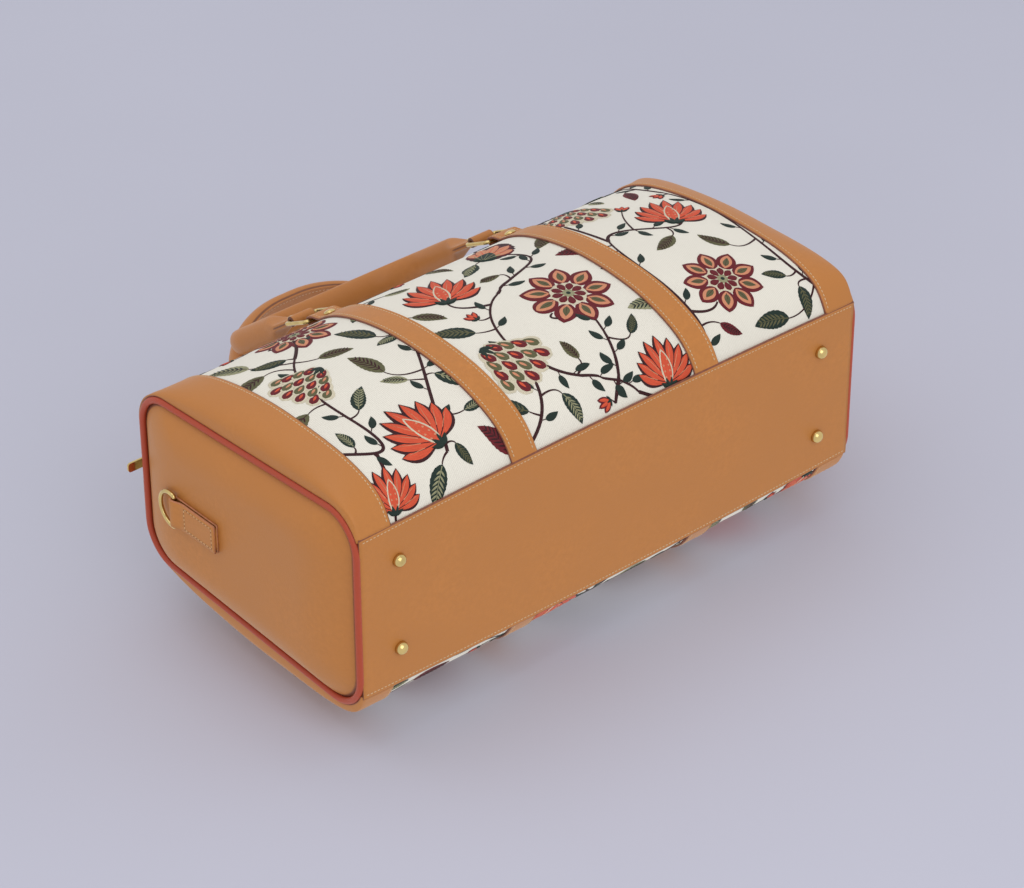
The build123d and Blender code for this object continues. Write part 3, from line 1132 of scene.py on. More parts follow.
def scale_petals(fill: Thread, spark: Thread) -> tuple[Petal, ...]:
    """One scale of a cluster: a pale rim, its fill, and a spark in the fill.

    Args:
        fill: Thread of the fill.
        spark: Thread of the spark.

    Returns:
        The petals from the lowest up.
    """
    blunt = (1.35, 0.45)
    return (Petal(Thread.CREAM, 0.0, 0.32, 0.27, 0.35, blunt, 9),
            Petal(fill, 0.03, 0.255, 0.2, 0.45, blunt, 9),
            Petal(spark, 0.08, 0.13, 0.06, 0.53, rows=7))


STAR_PETALS = (Petal(Thread.MAROON, 0.17, 0.35, 0.25, 0.35, (1.0, 0.75)),
               Petal(Thread.PEACH, 0.21, 0.265, 0.185, 0.5, (1.0, 0.75)),
               Petal(Thread.OLIVE, 0.25, 0.17, 0.10, 0.62, rows=9))
STAR_HEART = (Petal(Thread.MAROON, 0.06, 0.135, 0.115, 0.85, (1.2, 0.6), 9),)
SCALE_KINDS = (scale_petals(Thread.MAROON, Thread.CORAL), scale_petals(Thread.OLIVE, Thread.PEACH))
SCALE_SEPALS = (Petal(Thread.GREEN, 0.0, 0.24, 0.1, 0.95, rows=9),)
LOTUS_PETALS = (Petal(Thread.STEM, 0.0, 1.0, 0.24, 0.3, (1.45, 0.9)),
                Petal(Thread.CORAL, 0.03, 0.93, 0.19, 0.39, (1.45, 0.9)))
LOTUS_CONE = (Petal(Thread.CREAM, 0.0, 0.66, 0.31, 0.95, (0.9, 0.75)),
              Petal(Thread.CORAL, 0.02, 0.6, 0.25, 1.03, (0.9, 0.75)))
LOTUS_SEPALS = (Petal(Thread.GREEN, 0.0, 0.2, 0.085, 1.1, rows=9),)
THISTLE_PETALS = (Petal(Thread.MAROON, 0.0, 1.0, 0.33, 0.45, (1.3, 0.6)),
                  Petal(Thread.PEACH, 0.02, 0.93, 0.285, 0.53, (1.3, 0.6)))
THISTLE_CUP = (Petal(Thread.GREEN, 0.0, 0.42, 0.44, 0.95, (0.7, 0.6)),)
BUD_PETALS = (Petal(Thread.MAROON, 0.0, 1.0, 0.5, 0.4, (1.15, 0.7), 9),
              Petal(Thread.CORAL, 0.1, 0.78, 0.34, 0.5, (1.15, 0.7), 9))
BUD_SEPALS = (Petal(Thread.GREEN, 0.0, 0.5, 0.24, 0.6, rows=7),)


def heading(angle: float) -> Array:
    """Unit direction on the flat cloth, from degrees."""
    return np.array([math.cos(math.radians(angle)), math.sin(math.radians(angle))])


@dataclass
class Embroidery:
    """Trailing vines with flowers, worked in satin thread on one long side of the canvas.

    The design lies flat in millimetres, along the bag and up from the bottom panel, and the bag's
    form carries it onto the canvas. Blooms and vines are placed; leaves and buds fill what is left.
    A bloom has its kind, place, size and heading, a vine the four corners of its cubic, and the
    filling its sizes with the number of tries for each, the last of them for buds.
    """

    side: Side
    mirror: int = 1
    seed: int = 5
    reach: float = 236.0
    seat: float = 0.1
    shares: Pair = (0.002, 0.998)
    stacks: dict = field(default_factory=dict)
    taken: list = field(default_factory=list)
    stems: list = field(default_factory=list)
    blooms: tuple = (
        (Bloom.LOTUS, -158, 58, 54, 112),
        (Bloom.SCALES, -190, 150, 46, 200),
        (Bloom.STAR, -143, 226, 66, 10),
        (Bloom.THISTLE, -193, 292, 44, 120),
        (Bloom.SCALES, -52, 74, 54, -60),
        (Bloom.STAR, 36, 112, 70, 25),
        (Bloom.LOTUS, -34, 182, 52, 66),
        (Bloom.THISTLE, 44, 214, 46, 35),
        (Bloom.STAR, -28, 282, 64, 0),
        (Bloom.LOTUS, 58, 20, 44, 80),
        (Bloom.STAR, 152, 62, 64, 40),
        (Bloom.LOTUS, 186, 160, 50, 60),
        (Bloom.SCALES, 132, 214, 50, 250),
        (Bloom.THISTLE, 190, 270, 44, 70),
        (Bloom.SCALES, 60, 292, 44, 190),
        (Bloom.LOTUS, -208, 22, 40, 75),
    )
    vines: tuple = (
        ((-222, 70), (-150, 10), (-228, 130), (-172, 186)),
        ((-172, 186), (-118, 240), (-172, 262), (-196, 316)),
        ((-150, 30), (-120, 110), (-92, 120), (-84, 196)),
        ((-84, 196), (-80, 250), (-60, 262), (-30, 258)),
        ((-86, 6), (-20, 40), (-70, 110), (-8, 146)),
        ((-8, 146), (30, 168), (70, 160), (44, 196)),
        ((4, 8), (26, 40), (30, 60), (34, 84)),
        ((44, 232), (50, 262), (96, 250), (62, 280)),
        ((92, 8), (120, 20), (96, 110), (112, 150)),
        ((112, 150), (126, 180), (168, 120), (182, 142)),
        ((224, 20), (196, 60), (232, 120), (214, 200)),
        ((214, 200), (200, 240), (222, 246), (196, 254)),
        ((112, 150), (100, 250), (130, 270), (150, 312)),
        ((-34, 60), (-20, 30), (10, 36), (26, 8)),
    )
    leaf_threads: tuple = (
        (Thread.GREEN, Thread.SAGE),
        (Thread.MAROON, Thread.STEM),
        (Thread.SAGE, Thread.GREEN),
        (Thread.GREEN, Thread.OLIVE),
        (Thread.OLIVE, Thread.STEM),
    )
    filling: tuple = ((40.0, 500), (32.0, 700), (24.0, 900), (13.0, 900))

    def lay(self, thread: Thread, flat: Array, height: Array, u: Array, v: Array) -> None:
        """Lay a flat grid of points on the canvas.

        Args:
            thread: Thread it is worked in.
            flat: Places on the cloth.
            height: Heights over the canvas.
            u: Places along the thread.
            v: Places across the thread.
        """
        x = np.clip(self.mirror * flat[..., 0], -self.reach, self.reach)
        share = np.clip(flat[..., 1] / FORM.girth, *self.shares)
        points = FORM.at(FORM.angle(x), share, height, self.side)
        patch = Patch.grid(points, u, v, loop_columns=False)
        if self.mirror * self.side.value > 0:
            patch.quads = patch.quads[:, ::-1]
        self.stacks.setdefault(thread, []).append(patch)

    def crown(self, way: Array, level: float) -> Array:
        """Heights across a shape: the level inside, eased to the cloth by an eighth power at 1."""
        return self.seat + level * (1 - way ** 8)

    def blade(self, thread: Thread, base: Array, angle: float, length: float, width: float, level: float,
              bend: float = 0.0, ease: Pair = (0.8, 0.8), teeth: tuple = (0, 0.0), rows: int = 13) -> None:
        """A petal or leaf.

        Its middle line runs from the base along the angle and bows sideways by bend times the
        length times 4 t (1 - t). Half its width is width / 2 times sin(pi t ** a) ** b, and teeth
        add a saw of the given count and depth.

        Args:
            thread: Thread it is worked in.
            base: Start of the middle line.
            angle: Heading in degrees.
            length: Length from base to tip.
            width: Greatest width.
            level: Height over the canvas.
            bend: Bow of the middle line.
            ease: The powers a and b.
            teeth: Count and depth of the saw.
            rows: Points along it.
        """
        t = np.linspace(0.0, 1.0, rows)
        w = np.array([-1.0, -0.72, 0.0, 0.72, 1.0])
        ahead, left = heading(angle), heading(angle + 90)
        middle = self.bowed(base, angle, length, bend, t)
        slope = unit(np.stack([np.full(rows, length), 4 * bend * length * (1 - 2 * t)], axis=1))
        across = -slope[:, 1:] * ahead + slope[:, :1] * left
        half = width / 2 * np.sin(math.pi * t ** ease[0]) ** ease[1]
        if teeth[0]:
            half = half * (1 + teeth[1] * (1 - (t * teeth[0]) % 1.0))
        aside = half[:, None] * w
        flat = middle[:, None] + aside[..., None] * across[:, None]
        self.lay(thread, flat, self.crown(w, level), t[:, None] * length, aside)

    def bowed(self, base: Array, angle: float, length: float, bend: float, t: Array) -> Array:
        """Points at the shares t of a blade's middle line."""
        bow = 4 * bend * length * t * (1 - t)
        return np.asarray(base) + t[:, None] * length * heading(angle) + bow[:, None] * heading(angle + 90)

    def cord(self, thread: Thread, line: Array, widths: Array, level: float) -> None:
        """A strip of thread along a flat line.

        Args:
            thread: Thread it is worked in.
            line: Points of the line.
            widths: Its width at those points.
            level: Height over the canvas.
        """
        ahead = tangents(line, False)
        across = np.stack([-ahead[:, 1], ahead[:, 0]], axis=1)
        w = np.array([-1.0, -0.5, 0.5, 1.0])
        flat = line[:, None] + (widths[:, None] / 2 * w)[..., None] * across[:, None]
        self.lay(thread, flat, self.crown(w, level), lengths_along(line)[:, None], widths[:, None] * w)

    def ray(self, thread: Thread, base: Array, angle: float, span: Pair, widths: Pair, level: float,
            points: int = 6) -> Array:
        """A straight cord along a heading.

        Args:
            thread: Thread it is worked in.
            base: Point that it is measured from.
            angle: Heading in degrees.
            span: Distances of its two ends from the base.
            widths: Widths at its two ends.
            level: Height over the canvas.
            points: Points along it.

        Returns:
            Its far end.
        """
        line = base + np.linspace(*span, points)[:, None] * heading(angle)
        self.cord(thread, line, np.linspace(*widths, points), level)
        return line[-1]

    def disc(self, thread: Thread, centre: Array, radius: float, level: float, lobes: int = 0) -> None:
        """A round patch, whose rim swells by |sin(lobes times half the angle)| times an eighth or so.

        Args:
            thread: Thread it is worked in.
            centre: Its middle.
            radius: Its radius between the lobes.
            level: Height over the canvas.
            lobes: Number of lobes.
        """
        angles = np.linspace(0, 2 * math.pi, 33)
        rim = radius * (1 + 0.12 * np.abs(np.sin(lobes * angles / 2)))
        shares = np.array([1.0, 0.92, 0.6, 0.0])[:, None]
        spokes = np.stack([np.cos(angles), np.sin(angles)], axis=1)
        aside = shares[..., None] * rim[:, None] * spokes
        self.lay(thread, centre + aside, self.crown(shares, level), aside[..., 0], aside[..., 1])

    def petals(self, kinds: Sequence[Petal], at: Array, angle: float, size: float, lift: float = 0.0,
               reach: Optional[float] = None, bend: float = 0.0) -> None:
        """Petals that lie over each other along one heading.

        Args:
            kinds: The petals, from the lowest up.
            at: Point that their starts are measured from.
            angle: Heading in degrees.
            size: Size of the flower.
            lift: Height added to their levels.
            reach: What their lengths are shares of, where it isn't the size.
            bend: Bow of their middle lines.
        """
        for petal in kinds:
            base = at + heading(angle) * petal.start * size
            length = petal.length * (size if reach is None else reach)
            self.blade(petal.thread, base, angle, length, petal.width * size, petal.level + lift, bend,
                       petal.ease, rows=petal.rows)

    def fan(self, kinds: Sequence[Petal], at: Array, turn: float, spreads: Sequence[int],
            size: float) -> None:
        """Petals repeated at several spreads, in degrees, about one heading."""
        for spread in spreads:
            self.petals(kinds, at, turn + spread, size)

    def star(self, at: Array, size: float, turn: float) -> None:
        """Open flower: nine pointed petals in three threads round a wheel of small ones.

        Args:
            at: Its middle.
            size: Its width.
            turn: Heading of its first petal in degrees.
        """
        spreads = range(0, 360, 40)
        self.fan(STAR_PETALS, at, turn, spreads, size)
        for spread in spreads:
            self.ray(Thread.STEM, at, turn + spread, (0.24 * size, 0.42 * size), (0.9, 0.4), 0.72)
        self.disc(Thread.CREAM, at, 0.205 * size, 0.7, 9)
        self.fan(STAR_HEART, at, turn + 20, spreads, size)
        self.disc(Thread.SAGE, at, 0.085 * size, 0.95, 7)
        self.disc(Thread.GREEN, at, 0.04 * size, 1.05)

    def scales(self, at: Array, size: float, turn: float) -> None:
        """Cluster of rounded scales, each row lying over the one before it.

        Args:
            at: Its middle.
            size: Its length.
            turn: Heading of its tip in degrees.
        """
        ahead, left = heading(turn), heading(turn + 90)
        rows = ((4, 0.34), (5, 0.17), (4, 0.0), (3, -0.17), (2, -0.31))
        for order, (count, along) in enumerate(rows):
            for aside in (np.arange(count) - (count - 1) / 2) * 0.215:
                tip = along - 0.35 * aside ** 2
                base = at + size * ((tip - 0.17) * ahead + aside * left)
                self.petals(SCALE_KINDS[order % 2], base, turn + 42 * aside, size, 0.1 * order)
        self.fan(SCALE_SEPALS, at - ahead * 0.5 * size, turn, (-38, 0, 38), size)

    def lotus(self, at: Array, size: float, turn: float) -> None:
        """Upright flower: pointed petals fanned behind a beaded cone.

        Args:
            at: Its middle.
            size: Its height.
            turn: Heading of its tip in degrees.
        """
        ahead = heading(turn)
        foot = at - ahead * 0.42 * size
        base = foot + ahead * 0.05 * size
        for order, spread in enumerate((-84, 84, -62, 62, -41, 41, -20, 20, 0)):
            reach = size * (0.62 + 0.034 * order)
            angle = turn + 0.8 * spread
            lift = 0.06 * order
            self.petals(LOTUS_PETALS, base, angle, size, lift, reach, 0.0009 * spread)
            inner = base + heading(angle) * 0.03 * size
            self.ray(Thread.PEACH, inner, angle, (0.35 * reach, 0.8 * reach), (1.3, 0.5), 0.47 + lift)
        self.petals(LOTUS_CONE, foot, turn, size)
        for step in range(7):
            along, aside = divmod(step, 2)
            spot = foot + size * ((0.16 + 0.1 * along) * ahead + (aside - 0.5) * 0.1 * heading(turn + 90))
            self.disc(Thread.PEACH, spot, 0.026 * size, 1.12)
        self.fan(LOTUS_SEPALS, foot - ahead * 0.03 * size, turn, (-58, -20, 20, 58), size)

    def thistle(self, at: Array, size: float, turn: float) -> None:
        """Round head of peach lobes on a saw-edged dark leaf, with a striped green cup.

        Args:
            at: Its middle.
            size: Its height.
            turn: Heading of its tip in degrees.
        """
        foot = at - heading(turn) * 0.5 * size
        base = foot + heading(turn) * 0.18 * size
        self.blade(Thread.STEM, foot, turn, 0.98 * size, 0.78 * size, 0.3, ease=(0.95, 0.6),
                   teeth=(9, 0.14), rows=37)
        lobes = ((-52, 0.52), (52, 0.52), (-27, 0.62), (27, 0.62), (0, 0.68))
        for order, (spread, share) in enumerate(lobes):
            reach = share * size
            angle = turn + spread
            lift = 0.06 * order
            self.petals(THISTLE_PETALS, base, angle, size, lift, reach)
            inner = base + heading(angle) * 0.02 * size
            self.ray(Thread.CORAL, inner, angle, (0.3 * reach, 0.8 * reach), (1.6, 0.5), 0.61 + lift)
        self.petals(THISTLE_CUP, foot, turn, size)
        for spread in (-40, -20, 0, 20, 40):
            self.ray(Thread.SAGE, foot, turn + spread, (0.05 * size, 0.36 * size), (0.7, 0.7), 1.05)

    def leaf(self, base: Array, angle: float, length: float, back: Thread, vein: Thread) -> None:
        """Leaf with a midrib and slanting veins, which reach out with the leaf's width.

        Args:
            base: Its foot.
            angle: Heading in degrees.
            length: Its length.
            back: Thread of the leaf.
            vein: Thread of the veins.
        """
        bend = 0.05 if int(length) % 2 else -0.05
        width = 0.4 * length
        ease = (0.78, 0.8)
        self.blade(back, base, angle, length, width, 0.34, bend, ease, (8, 0.1), rows=33)
        midrib = self.bowed(base, angle, length, bend, np.linspace(0.04, 0.9, 9))
        self.cord(Thread.STEM if back is Thread.SAGE else vein, midrib, np.linspace(1.2, 0.5, 9), 0.5)
        shares = np.linspace(0.14, 0.78, 7)
        reaches = 0.575 * width * np.sin(math.pi * shares ** ease[0]) ** ease[1]
        for spot, reach in zip(self.bowed(base, angle, length, bend, shares), reaches):
            for sign in (-1, 1):
                self.blade(vein, spot, angle + sign * 42, reach, 0.055 * length, 0.44, rows=5)

    def bud(self, base: Array, angle: float, size: float) -> None:
        """Small closed flower with three sepals."""
        self.fan(BUD_PETALS, base, angle, (-34, 34, 0), size)
        self.fan(BUD_SEPALS, base - 0.12 * size * heading(angle), angle, (-60, 0, 60), size)

    def vine(self, corners: Sequence[Pair]) -> None:
        """A stem on a cubic through four corners, with small leaves on alternate sides.

        Args:
            corners: Start, two pulls and end of the cubic.
        """
        t = np.linspace(0, 1, 41)[:, None]
        a, b, c, d = np.asarray(corners, float)
        line = (1 - t) ** 3 * a + 3 * t * (1 - t) ** 2 * b + 3 * t ** 2 * (1 - t) * c + t ** 3 * d
        self.cord(Thread.STEM, line, np.linspace(3.0, 1.8, len(line)), 0.34)
        ahead = tangents(line, False)
        for order, index in enumerate(range(5, 38, 6)):
            sign = 1 if order % 2 else -1
            angle = math.degrees(math.atan2(ahead[index, 1], ahead[index, 0])) + sign * 52
            base = line[index] + heading(angle)
            tip = self.ray(Thread.STEM, base, angle, (0.0, 3.5), (0.8, 0.8), 0.3, 4)
            self.blade(Thread.GREEN, tip, angle - sign * 12, 13.0, 6.0, 0.36, 0.06 * sign)
            self.taken.append((*(base + 8 * heading(angle)), 6.0))
        self.taken += [(x, y, 3.0) for x, y in line[::2]]
        self.stems += list(line)

    def away(self, spot: Array) -> tuple[Array, float]:
        """The nearest point of the vines, and the heading from it to the spot.

        Args:
            spot: A place on the cloth.

        Returns:
            The point, and the heading in degrees.
        """
        stems = np.asarray(self.stems)
        root = stems[np.hypot(*(stems - spot).T).argmin()]
        return root, math.degrees(math.atan2(spot[1] - root[1], spot[0] - root[0]))

    def sprig(self, base: Array, angle: float, wide: float) -> None:
        """A stem from the nearest vine that swings into the given heading at its tip.

        It is a parabola whose middle corner lies half the stem's span behind the tip.

        Args:
            base: Tip of the stem, where a leaf or flower starts.
            angle: Heading at the tip in degrees.
            wide: Width at the vine; it thins to half of that.
        """
        root = self.away(base)[0]
        span = float(np.hypot(*(base - root)))
        t = np.linspace(0, 1, 17)[:, None]
        pull = base - 0.5 * span * heading(angle)
        line = (1 - t) ** 2 * root + 2 * t * (1 - t) * pull + t ** 2 * base
        shortest = 4.0
        if span > shortest:
            self.cord(Thread.STEM, line, np.linspace(wide, wide / 2, len(line)), 0.2)

    def fill(self) -> None:
        """Scatter leaves and buds where the cloth is still bare, from a fixed seed."""
        random = np.random.default_rng(self.seed)
        bud_size = self.filling[-1][0]
        for size, tries in self.filling:
            room = 0.42 * size if size > bud_size else 0.75 * size
            spots = random.uniform((-226, 6), (226, FORM.girth - 12), (tries, 2))
            turns = random.uniform(-62, 62, tries)
            picks = random.integers(0, len(self.leaf_threads), tries)
            for spot, turn, pick in zip(spots, turns, picks):
                held = np.asarray(self.taken)
                if np.any(np.hypot(*(held[:, :2] - spot).T) < held[:, 2] + room):
                    continue
                self.taken.append((*spot, room))
                turn = turn + self.away(spot)[1]
                base = spot - 0.4 * size * heading(turn)
                self.sprig(base, turn, 1.9)
                if size > bud_size:
                    self.leaf(base, turn, 0.86 * size, *self.leaf_threads[pick])
                else:
                    self.bud(base, turn, 0.8 * size)

    def build(self) -> None:
        """Work the whole design and make one piece for each thread."""
        work = {Bloom.STAR: self.star, Bloom.SCALES: self.scales, Bloom.LOTUS: self.lotus,
                Bloom.THISTLE: self.thistle}
        for corners in self.vines:
            self.vine(corners)
        for kind, x, y, size, turn in self.blooms:
            at = np.array([x, y], float)
            self.sprig(at - 0.4 * size * heading(turn), turn, 3.0)
            work[kind](at, size, turn)
            self.taken.append((x, y, 0.54 * size))
        self.fill()
        for thread, patches in self.stacks.items():
            name = f"{self.side.word}_{thread.name.lower()}_embroidery"
            make_piece(name, Patch.join(patches), thread.finish, "bag", closed=False)


# Trim and fittings


@dataclass
class LeatherTrim:
    """Bands, straps, bottom panel, end panels and piping."""

    stitch_inset: float = 3.4
    band_inner: float = 219.0
    band_stop: float = 0.10
    band_columns: int = 31
    band_rows: int = 121
    band_paint: Pair = (0.75, 1.0)
    edge_thin: Pair = (0.5, 0.008)
    seam_thin: Pair = (0.6, 0.12)
    strap_width: float = 25.0
    fold_share: float = 0.775
    fold_height: float = 4.5
    fold_run: float = 15.0
    fold_turn: Pair = (128.0, -110.0)
    loop_radius: float = 2.9
    sewn_points: tuple[int, int] = (2, 126)
    # Tucks: grow of the seam line, place along X, and edge paint that lays a painted shade line along the
    # piping.
    tucks: tuple = ((4.6, 250.7, 0.0), (3.1, 250.5, 0.7), (1.0, 249.4, 1.0))
    piping_x: float = 250.3
    piping_radius: float = 2.8
    panel_half_length: float = 249.5
    panel_tuck: float = 2.5
    panel_width: float = 150.0
    panel_end_width: float = 143.0
    panel_base: float = 244.0
    panel_rim: float = 248.0
    dome_depth: float = 16.0
    # Edge paint on the hidden rim rows, then a painted shade line on the first row seen past the piping.
    rim_paint_and_seam_shade: tuple = (1.0, 1.0, 1.0, 0.8)
    dome_middle: Pair = (0.0, 138.0)
    dome_share: float = 0.46
    dome_power: float = 2.4

    def band(self, side: Side, end: End) -> None:
        """A strip from the bottom panel to the zip that turns in over the shoulder to the piping.

        It thins by bell curves of the station angle at its inner edge and towards the piping, and its
        last columns lie on the nearest points of grown seam lines; paint on its tucked columns is a
        painted shade line along the piping.

        Args:
            side: Long side that it lies on.
            end: End that it lies at.
        """
        inner = float(FORM.angle(self.band_inner))
        angles = np.linspace(inner, math.pi / 2 - self.band_stop, self.band_columns)
        share = np.linspace(0.0, 1.0, self.band_rows)[:, None]
        thin = (self.edge_thin[0] * np.exp(-((angles - inner) / self.edge_thin[1]) ** 2)
                + self.seam_thin[0] * np.exp(-((math.pi / 2 - angles) / self.seam_thin[1]) ** 2))
        top = FORM.at(end.value * angles, share, LAYOUT.hide * (1 - thin), side)
        under = FORM.at(end.value * angles, share, 0.0, side)
        columns = [top]
        for grow, x, _ in self.tucks:
            seam = END_SEAM.line(grow, 0.8)
            nearest = np.linalg.norm(top[:, -1:, 1:] - seam[None], axis=2).argmin(axis=1)
            columns.append(np.insert(seam[nearest], 0, end.value * x, axis=1)[:, None])
        points = np.concatenate([*columns, under[:, ::-1]], axis=1)
        edge = np.zeros(points.shape[1])
        edge[[0, -1]] = self.band_paint
        # Paint on the tucked columns: painted shade along the piping seam.
        edge[len(angles):len(angles) + len(self.tucks)] = [dark for _, _, dark in self.tucks]
        patch = Patch.tube(points, np.linspace(0, 60, len(edge)), share * FORM.girth, edge)
        name = f"{side.word}_{end.word}_band"
        make_piece(f"{name}_hide", patch, TAN, "bag", [name])
        seam = end.value * float(FORM.angle(self.band_inner + self.stitch_inset))
        line = np.linspace(0.01, 0.985, 400)
        path = FORM.at(seam, line, LAYOUT.hide, side)
        sew(f"{name}_stitches", [SEWN.row(path, FORM.out(seam, line, side))])

    def strap_line(self) -> tuple[Array, Array, Array]:
        """Way of a strap: up the canvas, out over the ring's bar and back under it.

        Returns:
            Shares up the canvas, heights over it, and lengths along the way.
        """
        girth = FORM.girth
        lying = LAYOUT.hide / 2
        low = np.linspace(0.0, self.fold_share - self.fold_run / girth, 110)
        angles = np.linspace(*self.fold_turn, 26) * math.pi / 180
        over = self.fold_share + self.loop_radius * np.cos(angles) / girth
        height = self.fold_height + self.loop_radius * np.sin(angles)
        t = np.linspace(0, 1, 9)[1:-1]
        rise = low[-1] + (over[0] - low[-1]) * t
        rise_height = lying + (height[0] - lying) * (3 * t ** 2 - 2 * t ** 3)
        shares = np.concatenate([low, rise, over])
        heights = np.concatenate([np.full(len(low), lying), rise_height, height])
        return shares, heights, lengths_along(np.stack([shares * girth, heights], axis=1))

    def strap(self, side: Side, end: End) -> None:
        """A strap carried up the canvas, with rounded painted edges and two stitched rows.

        Args:
            side: Long side that it lies on.
            end: End that it lies nearer to.
        """
        shares, heights, along = self.strap_line()
        place, rise, edge = hide_section(self.strap_width, LAYOUT.hide)
        flat = np.stack([shares * FORM.girth, heights], axis=1)
        normal = tangents(flat, False)[:, ::-1] * np.array([-1.0, 1.0])
        over = rise[None] - LAYOUT.hide / 2
        share = (flat[:, :1] + normal[:, :1] * over) / FORM.girth
        lift = flat[:, 1:] + normal[:, 1:] * over
        angles = FORM.angle(end.value * (LAYOUT.strap_x + place))
        points = FORM.at(angles[None], share, lift, side)
        patch = Patch.tube(points, place, along[:, None], edge)
        name = f"{side.word}_{end.word}_strap"
        make_piece(f"{name}_hide", patch, TAN, "bag", [name])
        rows = []
        sewn = slice(*self.sewn_points)
        for sign in (-1, 1):
            inset = sign * (self.strap_width / 2 - self.stitch_inset)
            seam = FORM.angle(end.value * (LAYOUT.strap_x + inset))
            path = FORM.at(seam, shares[sewn], heights[sewn] + LAYOUT.hide / 2, side)
            rows.append(SEWN.row(path, FORM.out(seam, shares[sewn], side)))
        sew(f"{name}_stitches", rows)

    def bottom(self) -> None:
        """Bottom panel, wider at its middle by a flat arc, with a rounded painted rim."""
        x = np.linspace(-1, 1, 121)
        half = (self.panel_end_width + (self.panel_width - self.panel_end_width) * (1 - x ** 2)) / 2
        flat = np.linspace(-1, 1, 13) * 0.985
        none, full = np.zeros(len(flat)), np.ones(RIM_POINTS)
        radius = LAYOUT.hide / 2
        rim = radius * (np.cos(RIM_TURN) - 1)
        rise = radius * np.sin(RIM_TURN)
        across = np.concatenate([flat, full, -flat, -full])
        extra = np.concatenate([none, rim, none, -rim])
        level = np.concatenate([none + LAYOUT.hide, radius - rise, none, radius + rise])
        y = half[:, None] * across + extra
        length = x[:, None] * self.panel_half_length
        points = np.stack(np.broadcast_arrays(length, y, LAYOUT.base + level), axis=-1)
        paint = np.concatenate([none, full, none, full])
        patch = Patch.tube(points, points[..., 0], points[..., 1], paint)
        make_piece("bottom_panel_hide", patch, TAN, "bag", ["bottom_panel"])
        seams = []
        for side in Side:
            y = side.value * (half - self.stitch_inset)
            length = x * (self.panel_half_length - self.panel_tuck)
            path = np.stack(np.broadcast_arrays(length, y, LAYOUT.base), axis=-1)
            seams.append(SEWN.row(path, np.broadcast_to(-Z_AXIS, path.shape)))
        sew("bottom_panel_stitches", seams)

    def end_panel(self, end: End) -> None:
        """Pillowed end panel: rings of the seam line shrunk to the middle, domed outwards, with a painted
        shade line along the piping seam.

        A ring at share r from the seam to the middle stands out by the depth times
        1 - (1 - r / dome share) ** dome power, and by the whole depth past the dome share.

        Args:
            end: End that it closes.
        """
        line = END_SEAM.line(-1.0, 3.0)
        share = np.concatenate([np.linspace(0, self.dome_share, 22), np.linspace(0.5, 1, 10)])
        flat = self.dome_middle + (line - self.dome_middle)[None] * (1 - share)[:, None, None]
        depth = self.dome_depth * (1 - np.clip(1 - share / self.dome_share, 0, 1) ** self.dome_power)
        x = end.value * (self.panel_rim + depth)
        outer = np.concatenate([np.broadcast_to(x[:, None, None], (*flat.shape[:2], 1)), flat], axis=2)
        base = outer[:1] * (Y_AXIS + Z_AXIS) + end.value * self.panel_base * X_AXIS
        close = np.broadcast_to(base.mean(axis=1, keepdims=True), base.shape)
        points = np.concatenate([close, base, outer])
        # Edge paint on the hidden rim rows, and on the first visible row a painted shade line along the
        # piping seam.
        paint = np.zeros((len(points), 1))
        paint[:len(self.rim_paint_and_seam_shade), 0] = self.rim_paint_and_seam_shade
        patch = Patch.grid(points, points[..., 1], points[..., 2], paint)
        make_piece(f"{end.word}_end_panel_hide", patch, TAN, "bag", [f"{end.word}_end_panel"])

    def piping(self, end: End) -> None:
        """Cord-filled piping round an end seam.

        Args:
            end: End that it goes round.
        """
        path = np.insert(END_SEAM.line(0.0, 2.5), 0, end.value * self.piping_x, axis=1)
        patch = carried(path, X_AXIS, round_section(self.piping_radius), 0.0, True)
        make_piece(f"{end.word}_piping_cord", patch, RUST, "bag", [f"{end.word}_piping"])

    def build(self) -> None:
        """Build every piece of the trim."""
        self.bottom()
        for end in End:
            self.end_panel(end)
            self.piping(end)
            for side in Side:
                self.band(side, end)
                self.strap(side, end)


